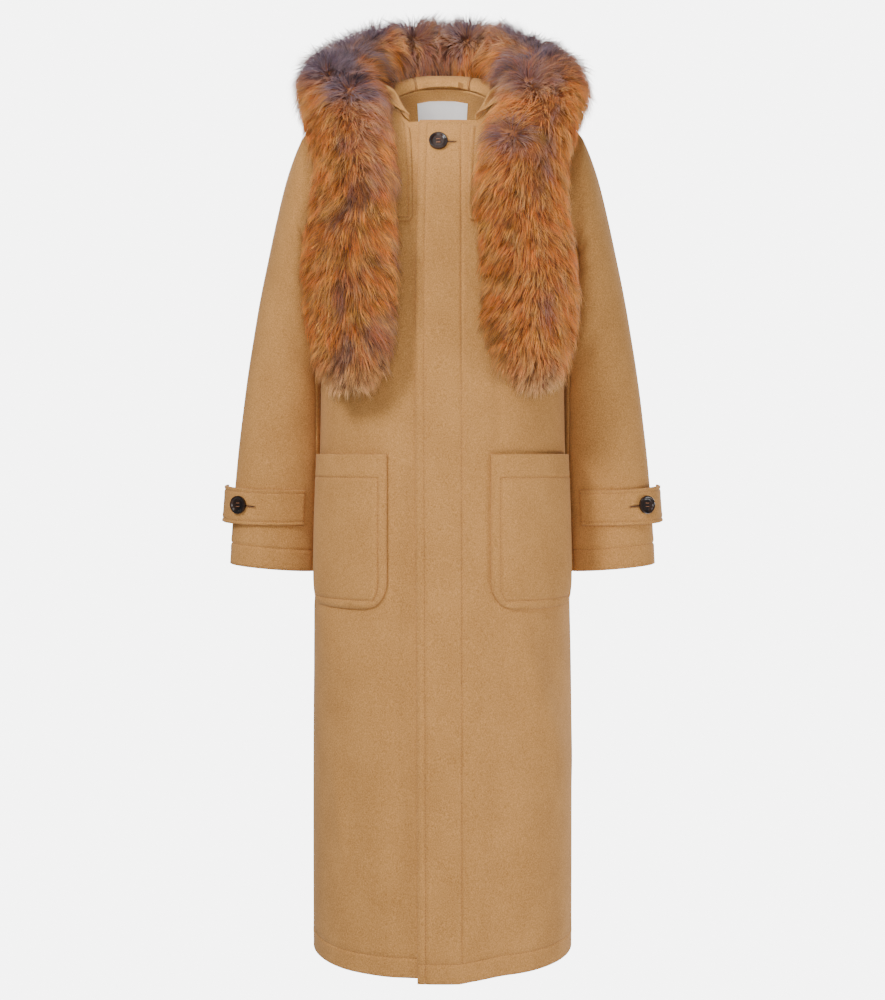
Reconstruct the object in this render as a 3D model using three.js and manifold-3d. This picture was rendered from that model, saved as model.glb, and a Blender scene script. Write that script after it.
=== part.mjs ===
// A long hooded wool coat with a fly front, worn open at the hem and filled out with no wearer.
// Units are millimetres. +Z is up, the front faces -Y and the wearer's left is +X.
// The origin is the centre of the neck at the level where the shoulder seams meet it.
import * as THREE from "three";
import Module from "manifold-3d";
import { mergeVertices } from "three/addons/utils/BufferGeometryUtils.js";

const wasm = await Module();
wasm.setup();

// ---------- driving dimensions ----------
const CLOTH = 3; // thickness of the coating wool
const SEAM = 0.3; // gap that sewn pieces keep
const LEFT = 1; // the wearer's left is +X
const RIGHT = -1;

const HEM_Z = -1274;
const HEM_DROP = { over: 7, under: 0 }; // the over front hangs a little lower at its edge
const ARMPIT_Z = -255;
const SHOULDER_X = 205; // half the shoulder width
const SHOULDER_SLOPE = 0.41;
const NECK_X = 78; // half-width of the neckline
const NECK_Z = 5; // where the shoulder seams meet the neckline
const NECK_CROWN = 50; // how far the neck stands above that at the centre
const BACK_NECK_RISE = 28;
const NECK_SQUARE = 3; // power of the curve over the neck: 2 is a parabola, and more is flatter in the middle
const FRONT_NECK_Z = -50;
const FRONT_NECK_FLAT = 50; // the front neckline is level this far from the middle
const ROUNDNESS = 2.2; // exponent of the torso's sections
const SHOULDER_ROUND = { front: 150, back: 104 }; // height over which a shoulder rounds off

const CENTRE_X = -5; // centre front, the line of the buttons
const TUCK = CLOTH + SEAM + 0.2; // how far the under front lies inside the over front
// Edges of the two fronts where they lap.
const FLY = [
  { z: -1300, over: -35.5, under: 24 },
  { z: -900, over: -37, under: 24 },
  { z: -320, over: -39, under: 24 },
  { z: -40, over: -33.5, under: 24 },
];
const LAP_COLUMNS = [0, 0.35, 0.7, 1]; // columns both fronts share across the lap

// The torso: half-width and depths of its sections.
const TORSO = [
  { z: -1290, half: 195, front: 173, back: 168 },
  { z: -1100, half: 195.5, front: 170, back: 164 },
  { z: -900, half: 195, front: 166, back: 158 },
  { z: -760, half: 192.5, front: 161, back: 153 },
  { z: -640, half: 189, front: 157, back: 149 },
  { z: -530, half: 185.5, front: 153, back: 146 },
  { z: -400, half: 183.5, front: 149, back: 143 },
  { z: -255, half: 182, front: 145, back: 139 },
  { z: -213, half: 188, front: 141, back: 136 },
  { z: -172, half: 194.5, front: 136, back: 132 },
  { z: -130, half: 199.5, front: 130, back: 127 },
  { z: -89, half: 208, front: 120, back: 120 },
  { z: -47, half: 229, front: 106, back: 111 },
  { z: 20, half: 240, front: 96, back: 95 },
];

// Rows of the armhole: how far up it, its half-width, and the sleeve's turn there (-90 is the underarm).
const ARMHOLE = [
  { rise: 0, half: 182, turn: -90 },
  { rise: 0.04, half: 181, turn: -68 },
  { rise: 0.12, half: 179, turn: -46 },
  { rise: 0.25, half: 177.2, turn: -30 },
  { rise: 0.34, half: 176.2, turn: -17 },
  { rise: 0.47, half: 176.3, turn: 0 },
  { rise: 0.6, half: 178.5, turn: 18 },
  { rise: 0.73, half: 182.6, turn: 34 },
  { rise: 0.84, half: 188, turn: 49 },
  { rise: 0.92, half: 194.5, turn: 63 },
  { rise: 0.97, half: 200.5, turn: 76 },
  { rise: 1, half: SHOULDER_X, turn: 90 },
];
const SLEEVE_SEAM_ROW = 2; // the sleeve's two seams leave the armhole at this row
const LEVEL_RISE = 0.25; // the panels' rows are level up to this share of the armhole's height

// Soft folds of the fronts and back: outward by `depth` round the line x, between the two heights.
const FOLDS = [
  { side: "front", x: 128, top: -640, bottom: -1180, spread: 34, depth: 4.5 },
  { side: "front", x: 82, top: -820, bottom: -1290, spread: 26, depth: -3 },
  { side: "front", x: -150, top: -700, bottom: -1290, spread: 32, depth: 3.5 },
  { side: "front", x: -72, top: -640, bottom: -1240, spread: 30, depth: -3 },
  { side: "back", x: -70, top: -420, bottom: -1300, spread: 36, depth: 6 },
  { side: "back", x: 60, top: -520, bottom: -1300, spread: 34, depth: 5 },
  { side: "back", x: 0, top: -560, bottom: -1300, spread: 26, depth: -4 },
];

// The sleeve's rings: inner and outer ends of each, and half its depth.
const SLEEVE = [
  { inX: 190, inY: 1, inZ: -246, outX: 213, outY: 0, outZ: -60, deep: 72 },
  { inX: 196, inY: 3, inZ: -250, outX: 224, outY: 0, outZ: -86, deep: 71 },
  { inX: 197, inY: 7, inZ: -268, outX: 237, outY: 0, outZ: -124, deep: 69 },
  { inX: 194, inY: 14, inZ: -296, outX: 250, outY: 0, outZ: -174, deep: 66 },
  { inX: 189.5, inY: 22, inZ: -334, outX: 263, outY: 1, outZ: -232, deep: 64 },
  { inX: 185.5, inY: 30, inZ: -382, outX: 277, outY: 2, outZ: -300, deep: 62 },
  { inX: 186.5, inY: 38, inZ: -440, outX: 290, outY: 3, outZ: -378, deep: 60 },
  { inX: 187.5, inY: 45, inZ: -500, outX: 301, outY: 4, outZ: -456, deep: 58 },
  { inX: 188, inY: 50, inZ: -560, outX: 310, outY: 5, outZ: -534, deep: 57 },
  { inX: 190, inY: 54, inZ: -616, outX: 316, outY: 6, outZ: -600, deep: 56 },
  { inX: 193, inY: 57, inZ: -668, outX: 320, outY: 7, outZ: -656, deep: 55.5 },
  { inX: 195, inY: 58, inZ: -716, outX: 323, outY: 8, outZ: -704, deep: 55 },
];

const POCKET = { inner: 73, top: -536, height: 222, outer: 0.978, corner: 42, stand: 11, edge: 0.6 };
// The shoulder patch: the first row and columns of the front that it covers, its set-back from the armhole and from the neck and shoulder seams, and its corner.
const YOKE = { row: 3, columns: { left: 0, right: 1 }, inset: 2.2, under: 12.5, corner: 3 };
const STRAP = { top: -587, height: 55, rise: 4, thick: 3.6, from: -23, to: 118, off: 1.2, flare: 11 };
const BUTTON = { radius: 13.6, thick: 4.6, rim: 2.4, well: 1.6, hole: 1.1, holeAt: 2.6 };
const NECK_BUTTON_Z = -86;
const CUFF_BUTTON = { turn: 62, z: -612, off: 0.35 };
const LABEL = { half: 42, rows: [3, 2, 1.6], thick: 1 };
const LOOP = { reach: 1.57, rise: 0.5, height: 9, thick: 2, stand: 8.5 }; // reach is in stations of the neck

// The hood, lying back: a pouch behind the neck whose edge carries the fur.
const HOOD = {
  stand: 25, // how high it stands at the back of the neck before it rolls over
  roll: 32, // how far out the top of that roll is
  depth: 292, // how far the pouch hangs
  room: 56, // space between its two layers
  clear: 7, // from the coat's back and shoulders
  into: 3, // how far its edge would reach into the fur before it is trimmed to the fur's skin
  seam: 0.05, // what the side panels keep back from their ends, in stations
  rounds: 2, // of smoothing
};

// The fur's path from the back of the neck, round the shoulder, to the tip of the front strip.
// face: which way its width points, in degrees from the back towards the wearer's side.
const FUR = [
  { x: 0, y: 126, z: 104, face: 0, wide: 49, deep: 45 },
  { x: 50, y: 122, z: 102, face: 20, wide: 50, deep: 45 },
  { x: 94, y: 103, z: 91, face: 40, wide: 53, deep: 45 },
  { x: 128, y: 70, z: 70, face: 62, wide: 56, deep: 44 },
  { x: 147, y: 30, z: 45, face: 78, wide: 60, deep: 42 },
  { x: 152, y: -15, z: 22, face: 88, wide: 62, deep: 41 },
  { x: 148, y: -62, z: -4, face: 86, wide: 63, deep: 40 },
  { x: 140, y: -104, z: -42, face: 78, wide: 64, deep: 38 },
];
const FUR_STRIP = [
  { z: -84, rightX: 131, leftX: 124, y: -132, face: 72, right: 63, left: 66, deep: 36 },
  { z: -125, rightX: 126, leftX: 117, y: -147, face: 70, right: 65, left: 70, deep: 35 },
  { z: -180, rightX: 128, leftX: 115, y: -155, face: 68, right: 68, left: 74, deep: 34 },
  { z: -248, rightX: 134, leftX: 123, y: -158, face: 66, right: 75, left: 77, deep: 34 },
  { z: -318, rightX: 134, leftX: 127, y: -159, face: 66, right: 72, left: 77, deep: 33 },
  { z: -362, rightX: 132, leftX: 126, y: -160, face: 66, right: 67, left: 70, deep: 32 },
  { z: -394, rightX: 131, leftX: 128, y: -161, face: 66, right: 59, left: 57, deep: 30 },
  { z: -418, rightX: 132, leftX: 131, y: -162, face: 66, right: 48, left: 44, deep: 26 },
  { z: -434, rightX: 134, leftX: 134, y: -162, face: 66, right: 35, left: 30, deep: 21 },
  { z: -446, rightX: 135, leftX: 136, y: -162, face: 66, right: 18, left: 14, deep: 12 },
];
const FUR_SIDES = 14;
const FUR_RINGS = { hood: 26, front: 14 };
const FUR_SPLIT = 7; // the hood's fur ends, and the front strips begin, at this row
const FUR_END = FUR_SPLIT - 0.004;

// ---------- curves and tables ----------
const clamp = (t, low = 0, high = 1) => Math.min(high, Math.max(low, t));
const mix = (a, b, t) => a + (b - a) * t;
const smooth = (t) => clamp(t) ** 2 * (3 - 2 * clamp(t));
const radians = THREE.MathUtils.degToRad;
const vec = (x, y, z) => new THREE.Vector3(x, y, z);

// The value of a column at a place in a table whose key column rises, through a smooth curve.
function column(table, key, name, at) {
  const last = table.length - 1;
  let i = 0;
  while (i < last - 1 && at > table[i + 1][key]) i++;
  const a = table[i];
  const b = table[i + 1];
  const slope = (j) => {
    const before = table[Math.max(j - 1, 0)];
    const after = table[Math.min(j + 1, last)];
    return (after[name] - before[name]) / (after[key] - before[key]);
  };
  const span = b[key] - a[key];
  const t = clamp((at - a[key]) / span);
  const s = t * t * (3 - 2 * t);
  return (
    mix(a[name], b[name], s) +
    span * (slope(i) * t * (1 - t) ** 2 - slope(i + 1) * t * t * (1 - t))
  );
}

// ---------- the coat's surface ----------
// Height of the shoulder line at a distance from the middle; within the neck it is the neck's own crown.
function shoulderLine(x) {
  const out = Math.abs(x);
  if (out > NECK_X) return NECK_Z - (out - NECK_X) * SHOULDER_SLOPE;
  return NECK_Z + NECK_CROWN * (1 - (out / NECK_X) ** NECK_SQUARE);
}

function foldDepth(face, x, z) {
  let sum = 0;
  for (const fold of FOLDS) {
    if (fold.side !== face) continue;
    const along = smooth((fold.top - z) / 160) * smooth((z - fold.bottom) / 60 + 0.6);
    sum += fold.depth * along * Math.exp(-(((x - fold.x) / fold.spread) ** 2));
  }
  return sum;
}

// Depth of the front or back surface at a place, from the plane of the side seams.
function depthAt(face, x, z) {
  const half = column(TORSO, "z", "half", z);
  const depth = column(TORSO, "z", face, z);
  const section = clamp(1 - Math.abs(x / half) ** ROUNDNESS) ** (1 / ROUNDNESS);
  const fall = clamp((shoulderLine(x) - z) / SHOULDER_ROUND[face]);
  const shoulder = Math.sqrt(1 - (1 - fall) ** 2);
  return (depth * section + foldDepth(face, x, z) * section) * shoulder;
}

const frontNeckline = (x) =>
  mix(FRONT_NECK_Z, NECK_Z, clamp((Math.abs(x) - FRONT_NECK_FLAT) / (NECK_X - FRONT_NECK_FLAT)) ** 1.6);
const backNeckline = (x) => NECK_Z + BACK_NECK_RISE * (1 - Math.abs(x / NECK_X) ** NECK_SQUARE);

// Top of a panel: the neckline near the middle and the shoulder seam beyond it.
function panelTop(face, x) {
  if (Math.abs(x) >= NECK_X) return shoulderLine(x);
  return face === "front" ? frontNeckline(x) : backNeckline(x);
}

const faceSign = { front: -1, back: 1 };

// A point of a panel. across runs from the middle (0) to the side seam or armhole (1), and is negative past the middle.
// up runs from 0 at the hem to 1 at the armpit's height, and from there to 2 at the top edge.
function panelPoint(face, side, across, up, hemZ = HEM_Z) {
  const rise = clamp(up - 1);
  const level = shoulderLine(SHOULDER_X);
  const above = panelTop(face, across * SHOULDER_X) - level;
  const z =
    up <= 1
      ? mix(hemZ, ARMPIT_Z, up)
      : mix(ARMPIT_Z, level, rise) + above * smooth((rise - LEVEL_RISE) / (1 - LEVEL_RISE));
  const half = up <= 1 ? column(TORSO, "z", "half", z) : column(ARMHOLE, "rise", "half", rise);
  const x = side * across * half;
  return vec(x, faceSign[face] * (depthAt(face, x, z) + SEAM / 2), z);
}

// ---------- closed walls ----------
// Unit normals of a grid of points, turned to the side that `outward` says.
function gridNormals(grid, outward) {
  const rows = grid.length;
  const cols = grid[0].length;
  return grid.map((row, r) =>
    row.map((p, c) => {
      const along = grid[r][Math.min(c + 1, cols - 1)].clone().sub(grid[r][Math.max(c - 1, 0)]);
      const up = grid[Math.min(r + 1, rows - 1)][c].clone().sub(grid[Math.max(r - 1, 0)][c]);
      return along.cross(up).normalize().multiplyScalar(outward);
    }),
  );
}

const offsetGrid = (grid, normals, by) =>
  grid.map((row, r) => row.map((p, c) => p.clone().addScaledVector(normals[r][c], by)));

// The closed body between two grids of the same size, given as a geometry with its faces pointing out.
function wallBetween(outer, inner) {
  const rows = outer.length;
  const cols = outer[0].length;
  const points = [...outer.flat(), ...inner.flat()];
  const at = (layer, r, c) => layer * rows * cols + r * cols + c;
  const faces = [];
  const quad = (a, b, c, d) => faces.push(a, b, c, a, c, d);
  for (let r = 0; r < rows - 1; r++)
    for (let c = 0; c < cols - 1; c++) {
      quad(at(0, r, c), at(0, r, c + 1), at(0, r + 1, c + 1), at(0, r + 1, c));
      quad(at(1, r, c), at(1, r + 1, c), at(1, r + 1, c + 1), at(1, r, c + 1));
    }
  for (let c = 0; c < cols - 1; c++) {
    quad(at(0, 0, c), at(1, 0, c), at(1, 0, c + 1), at(0, 0, c + 1));
    quad(at(0, rows - 1, c), at(0, rows - 1, c + 1), at(1, rows - 1, c + 1), at(1, rows - 1, c));
  }
  for (let r = 0; r < rows - 1; r++) {
    quad(at(0, r, 0), at(0, r + 1, 0), at(1, r + 1, 0), at(1, r, 0));
    quad(at(0, r, cols - 1), at(1, r, cols - 1), at(1, r + 1, cols - 1), at(0, r + 1, cols - 1));
  }
  return facingOut(points, faces);
}

// A closed tube through rings of points, with a flat cap at each end.
function tubeThrough(rings) {
  const sides = rings[0].length;
  const points = rings.flat();
  const faces = [];
  for (let r = 0; r < rings.length - 1; r++)
    for (let c = 0; c < sides; c++) {
      const next = (c + 1) % sides;
      const [a, b] = [r * sides + c, r * sides + next];
      faces.push(a, b, b + sides, a, b + sides, a + sides);
    }
  for (const [ring, turn] of [[0, -1], [rings.length - 1, 1]]) {
    const middle = rings[ring].reduce((sum, p) => sum.add(p), vec(0, 0, 0)).divideScalar(sides);
    points.push(middle);
    for (let c = 0; c < sides; c++) {
      const [a, b] = [ring * sides + c, ring * sides + ((c + 1) % sides)];
      faces.push(points.length - 1, ...(turn > 0 ? [a, b] : [b, a]));
    }
  }
  return facingOut(points, faces);
}

function facingOut(points, faces) {
  let volume = 0;
  for (let i = 0; i < faces.length; i += 3) {
    const [a, b, c] = [points[faces[i]], points[faces[i + 1]], points[faces[i + 2]]];
    volume += a.dot(b.clone().cross(c));
  }
  if (volume < 0)
    for (let i = 0; i < faces.length; i += 3) [faces[i + 1], faces[i + 2]] = [faces[i + 2], faces[i + 1]];
  const geometry = new THREE.BufferGeometry().setFromPoints(points);
  geometry.setIndex(faces);
  return geometry;
}

function solidOf(geometry) {
  const bare = geometry.clone();
  bare.deleteAttribute("normal");
  bare.deleteAttribute("uv");
  const merged = mergeVertices(bare, 1e-4);
  return new wasm.Manifold(
    new wasm.Mesh({
      numProp: 3,
      vertProperties: new Float32Array(merged.attributes.position.array),
      triVerts: new Uint32Array(merged.index.array),
    }),
  );
}

const TRIM_TOLERANCE = 0.02; // slivers narrower than this are taken out of a trimmed solid
const largest = (solid) =>
  solid.decompose().reduce((best, piece) => (piece.volume() > best.volume() ? piece : best));

function geometryOf(solid) {
  const mesh = solid.getMesh();
  const position = new Float32Array(mesh.numVert * 3);
  for (let i = 0; i < mesh.numVert; i++)
    position.set(mesh.vertProperties.subarray(i * mesh.numProp, i * mesh.numProp + 3), i * 3);
  return new THREE.BufferGeometry()
    .setAttribute("position", new THREE.BufferAttribute(position, 3))
    .setIndex(new THREE.BufferAttribute(new Uint32Array(mesh.triVerts), 1));
}

// ---------- the body's panels ----------
const LOWER_ROWS = 10;
const UP_ROWS = [
  ...Array.from({ length: LOWER_ROWS }, (_, i) => i / LOWER_ROWS),
  ...ARMHOLE.map((row) => 1 + row.rise),
];
const ARMPIT_ROW = LOWER_ROWS;
// Columns of half a panel, as distances from the middle at the shoulder's height.
const COLUMN_X = [0, 21, 42, FRONT_NECK_FLAT, 59, 69, NECK_X, 97, 118, 140, 160, 177, 190, 198.5, 203.3, SHOULDER_X];
const HALF_COLUMNS = COLUMN_X.map((x) => x / SHOULDER_X);

const LAP_END = 2; // the first column that a front takes from its half panel

// A front: the columns of the lap, then those of its half panel.
function frontGrid(side) {
  const over = side === LEFT;
  const dropBy = over ? HEM_DROP.over : HEM_DROP.under;
  return UP_ROWS.map((up) => {
    const beside = HALF_COLUMNS.slice(LAP_END).map((across) =>
      panelPoint("front", side, across, up, HEM_Z - dropBy * smooth(1 - across * 2)),
    );
    const { z } = panelPoint("front", side, 0, up, HEM_Z - dropBy);
    const lap = LAP_COLUMNS.map((t) => {
      const x = mix(column(FLY, "z", "over", z), column(FLY, "z", "under", z), over ? t : 1 - t);
      return vec(x, -(depthAt("front", x, z) + SEAM / 2), z);
    });
    return [...lap, ...beside];
  });
}

// How far the under front lies inside the coat's surface: fully under the fly, and fading out beside it.
function tuckAt(x, z) {
  const edge = column(FLY, "z", "over", z);
  return TUCK * smooth((x - (edge - 48)) / 44);
}

// Normals of a panel. Those along the side and shoulder seams have no fore-and-aft part, so both panels' edges meet.
function panelNormals(grid, outward, edges) {
  const normals = gridNormals(grid, outward);
  const top = grid.length - 1;
  const level = (n) => n.setY(0).normalize();
  for (let c = 0; c < grid[0].length; c++)
    if (Math.abs(grid[top][c].x) >= NECK_X - 1) level(normals[top][c]);
  for (let r = 0; r <= ARMPIT_ROW; r++) for (const c of edges) level(normals[r][c]);
  return normals;
}

function frontPanel(side) {
  const grid = frontGrid(side);
  const normals = panelNormals(grid, side, [grid[0].length - 1]);
  const tucked = (p, n) =>
    side === RIGHT ? p.clone().addScaledVector(n, -tuckAt(p.x, p.z)) : p;
  const outer = grid.map((row, r) => row.map((p, c) => tucked(p, normals[r][c])));
  return { grid, normals, outer, inner: offsetGrid(outer, normals, -CLOTH) };
}

function backPanel() {
  const across = [...HALF_COLUMNS.slice(1).reverse().map((a) => -a), ...HALF_COLUMNS];
  const grid = UP_ROWS.map((up) =>
    across.map((a) => {
      const p = panelPoint("back", Math.sign(a) || 1, Math.abs(a), up);
      return p;
    }),
  );
  const normals = panelNormals(grid, -1, [0, across.length - 1]);
  return { grid, normals, outer: grid, inner: offsetGrid(grid, normals, -CLOTH) };
}

const fronts = { [LEFT]: frontPanel(LEFT), [RIGHT]: frontPanel(RIGHT) };
const back = backPanel();

// ---------- what lies on the fronts ----------
// A patch on a panel: a grid of the panel's own points, moved out by stand(s, t) at each place.
function patchOnFront(side, rows, cols, placeAt, standAt, thick) {
  const outerAt = (s, t) => {
    const { x, z } = placeAt(s, t);
    const e = 0.5;
    const on = (px, pz) => vec(side * px, -(depthAt("front", side * px, pz) + SEAM / 2), pz);
    const p = on(x, z);
    const across = on(x + e, z).sub(on(x - e, z));
    const upward = on(x, z + e).sub(on(x, z - e));
    const normal = across.cross(upward).normalize().multiplyScalar(side);
    return { p, normal };
  };
  const grid = rows.map((t) => cols.map((s) => ({ ...outerAt(s, t), stand: standAt(s, t) })));
  const layer = (extra) =>
    grid.map((row) => row.map(({ p, normal, stand }) => p.clone().addScaledVector(normal, stand + extra)));
  return wallBetween(layer(thick), layer(0));
}

const steps = (n) => Array.from({ length: n + 1 }, (_, i) => i / n);

// The pocket: sewn down round its sides and foot, standing off at its open top.
function pocket(side) {
  const bottom = POCKET.top - POCKET.height;
  const inner = POCKET.inner + side * CENTRE_X;
  const angleOf = (x, half) => Math.asin(clamp(x / half));
  const place = (s, t) => {
    // The foot's corners are rounded: the lowest rows are drawn in.
    const z0 = mix(bottom, POCKET.top, t);
    const half = column(TORSO, "z", "half", z0);
    const from = angleOf(inner, half);
    const to = angleOf(POCKET.outer * half, half);
    const width = (to - from) * half;
    const up = t * POCKET.height;
    const lift = POCKET.corner - up;
    const inset = lift > 0 ? POCKET.corner - Math.sqrt(Math.max(POCKET.corner ** 2 - lift ** 2, 0)) : 0;
    const share = (inset / width) * 0.9;
    return { x: half * Math.sin(mix(from, to, mix(share, 1 - share, s))), z: z0 };
  };
  const stand = (s, t) => {
    const sides = 1 - Math.abs(2 * s - 1) ** 5;
    const foot = 1 - (1 - t) ** 6;
    return POCKET.edge + POCKET.stand * sides * foot;
  };
  const rows = [0, 0.02, 0.05, 0.1, 0.18, 0.32, 0.5, 0.68, 0.85, 1];
  const cols = [0, 0.05, 0.13, 0.25, 0.38, 0.5, 0.62, 0.75, 0.87, 0.95, 1];
  return patchOnFront(side, rows, cols, place, stand, CLOTH);
}

// The shoulder patch: the front's own points from the neckline and shoulder seam down to a straight foot, moved out.
function yoke(side) {
  const { outer, normals } = fronts[side];
  const firstColumn = LAP_COLUMNS.length + (side === LEFT ? YOKE.columns.left : YOKE.columns.right);
  const columns = outer[0].map((_, c) => c).slice(firstColumn);
  const rows = outer.map((_, r) => r).slice(ARMPIT_ROW + YOKE.row);
  const inset = (r, c) => {
    const p = outer[r][c].clone();
    const pull = (other, by) => p.addScaledVector(other.clone().sub(outer[r][c]).normalize(), by);
    if (r === rows[rows.length - 1]) pull(outer[r - 1][c], YOKE.under);
    if (c === columns[columns.length - 1]) pull(outer[r][c - 1], YOKE.inset);
    if (r === rows[0] && c === firstColumn) {
      pull(outer[r + 1][c], YOKE.corner);
      pull(outer[r][c + 1], YOKE.corner);
    }
    return p;
  };
  const layer = (out) =>
    rows.map((r) => columns.map((c) => inset(r, c).addScaledVector(normals[r][c], out)));
  return wallBetween(layer(SEAM + CLOTH), layer(SEAM));
}

// ---------- sleeves ----------
// The armhole's ring, front edge up and back edge down, as outer and inner points with a small step off the body.
function armholeRing(side) {
  const last = fronts[side].grid[0].length - 1;
  const backEdge = side === LEFT ? back.grid[0].length - 1 : 0;
  const pick = (panel, edge, layer) => UP_ROWS.map((_, r) => panel[layer][r][edge]).slice(ARMPIT_ROW);
  const join = (layer) => {
    const front = pick(fronts[side], last, layer);
    const behind = pick(back, backEdge, layer);
    const ends = [0, front.length - 1].map((i) => front[i].clone().add(behind[i]).divideScalar(2));
    return [ends[0], ...front.slice(1, -1), ends[1], ...behind.slice(1, -1).reverse()];
  };
  const outer = join("grid");
  const inner = join("inner");
  const count = outer.length;
  const step = outer.map((p, i) => {
    const along = outer[(i + 1) % count].clone().sub(outer[(i + count - 1) % count]);
    const through = p.clone().sub(inner[i]);
    const away = along.cross(through).normalize();
    return away.dot(vec(side, 0, i === 0 ? 3 : 0.4)) < 0 ? away.negate() : away;
  });
  const moved = (ring) => ring.map((p, i) => p.clone().addScaledVector(step[i], SEAM + 0.2));
  return { outer: moved(outer), inner: moved(inner) };
}

const RING_TURNS = [
  ...ARMHOLE.map((row) => radians(row.turn)),
  ...ARMHOLE.slice(1, -1).reverse().map((row) => radians(180 - row.turn)),
];

// A point of one of the sleeve's rings. row may lie between two rings.
function sleevePoint(side, row, turn, out = 0) {
  const key = SLEEVE.map((ring, i) => ({ ...ring, i }));
  const at = (name) => column(key, "i", name, row);
  const inside = vec(at("inX"), at("inY"), at("inZ"));
  const outside = vec(at("outX"), at("outY"), at("outZ"));
  const middle = inside.clone().add(outside).divideScalar(2);
  const reach = outside.clone().sub(inside).divideScalar(2);
  const half = reach.length();
  const across = reach.normalize();
  const fore = vec(0, -1, 0).addScaledVector(across, across.y).normalize();
  const p = middle
    .addScaledVector(across, Math.sin(turn) * (half + out))
    .addScaledVector(fore, Math.cos(turn) * (at("deep") + out));
  return vec(side * p.x, p.y, p.z);
}

function sleeveRings(side) {
  const start = armholeRing(side);
  const rings = [start.outer];
  for (let row = 0; row < SLEEVE.length; row++) {
    const ease = [0.62, 0.3, 0.1][row] ?? 0; // the first rings still have some of the armhole's shape
    const drift = sleevePoint(side, row, Math.PI / 2).sub(start.outer[ARMHOLE.length - 1]);
    rings.push(
      RING_TURNS.map((turn, i) => {
        const round = sleevePoint(side, row, turn);
        const kept = start.outer[i].clone().add(drift);
        kept.y = start.outer[i].y;
        return round.setY(mix(round.y, kept.y, ease));
      }),
    );
  }
  const closed = rings.map((ring) => [...ring, ring[0], ring[1]]);
  const count = RING_TURNS.length;
  const normals = gridNormals(closed, -side).map((row) => [row[count], ...row.slice(1, count)]);
  const inner = offsetGrid(rings, normals, -CLOTH);
  inner[0] = start.inner;
  return { outer: rings, inner, normals };
}

const sleeves = { [LEFT]: sleeveRings(LEFT), [RIGHT]: sleeveRings(RIGHT) };

// One cut piece of the sleeve: the ring's points from one seam round to the other, parted from the next piece.
function sleevePiece(side, from, to) {
  const { outer, inner } = sleeves[side];
  const count = RING_TURNS.length;
  const wrap = (i) => ((i % count) + count) % count;
  const indices = Array.from({ length: to - from + 1 }, (_, i) => from + i);
  const take = (rings) =>
    rings.map((ring) =>
      indices.map((i, n) => {
        const p = ring[wrap(i)].clone();
        const towards = n === 0 ? ring[wrap(i + 1)] : n === indices.length - 1 ? ring[wrap(i - 1)] : null;
        if (towards) p.addScaledVector(towards.clone().sub(p).normalize(), SEAM / 2);
        return p;
      }),
    );
  return wallBetween(take(outer), take(inner));
}

const BACK_SEAM = RING_TURNS.length - SLEEVE_SEAM_ROW;

// Which row of the sleeve is at a height, on the side of it that the turn faces.
function sleeveRowAt(z, turn) {
  const heightOf = (ring) => (ring.inZ + ring.outZ) / 2 + (Math.sin(turn) * (ring.outZ - ring.inZ)) / 2;
  const table = SLEEVE.map((ring, i) => ({ i, fall: -heightOf(ring) }));
  return column(table, "fall", "i", -z);
}

// How far the cuff strap stands off the sleeve at a share of its length.
const strapLift = (share) => STRAP.off + STRAP.flare * smooth((share - 0.35) / 0.6);

// The cuff strap: round the sleeve from its front seam past the outer side, its free end standing off.
function cuffStrap(side) {
  const layer = (out) =>
    steps(3).map((t) =>
      steps(14).map((s) => {
        const turn = radians(mix(STRAP.from, STRAP.to, s));
        const z = STRAP.top - STRAP.height * (1 - t) + STRAP.rise * s;
        return sleevePoint(side, sleeveRowAt(z, turn), turn, strapLift(s) + out);
      }),
    );
  return wallBetween(layer(STRAP.thick), layer(0));
}

// ---------- buttons ----------
// A turned button with a rim, a shallow well and four holes, its back at the origin and its face along +Z.
function buttonSolid() {
  const { radius, thick, rim, well, hole, holeAt } = BUTTON;
  const profile = [
    [0, 0],
    [radius - 1.4, 0],
    [radius, 1.4],
    [radius, thick - 1.2],
    [radius - 1, thick],
    [radius - rim, thick],
    [radius - rim - 1.6, thick - well],
    [0, thick - well],
  ].map(([r, z]) => new THREE.Vector2(r, z));
  const turned = new THREE.LatheGeometry(profile, 20).rotateX(Math.PI / 2);
  let solid = solidOf(turned);
  for (const [sx, sy] of [[1, 1], [1, -1], [-1, 1], [-1, -1]]) {
    const drill = new THREE.CylinderGeometry(hole, hole, thick * 3, 8).rotateX(Math.PI / 2);
    drill.translate((sx * holeAt), (sy * holeAt), 0);
    solid = solid.subtract(solidOf(drill));
  }
  return geometryOf(solid);
}

// A button set on a surface: its back at p, its face along normal.
function buttonOn(p, normal) {
  const mesh = new THREE.Mesh(buttonSolid());
  mesh.quaternion.setFromUnitVectors(vec(0, 0, 1), normal);
  mesh.position.copy(p).addScaledVector(normal, SEAM);
  return mesh;
}

function neckButton() {
  const x = CENTRE_X - 1;
  const y = -(depthAt("front", x, NECK_BUTTON_Z) + SEAM / 2);
  const slope = depthAt("front", x, NECK_BUTTON_Z + 2) - depthAt("front", x, NECK_BUTTON_Z - 2);
  const normal = vec(0, -1, -slope / 4).normalize();
  normal.z = Math.abs(normal.z);
  return buttonOn(vec(x, y - 0.5, NECK_BUTTON_Z), normal);
}

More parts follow.
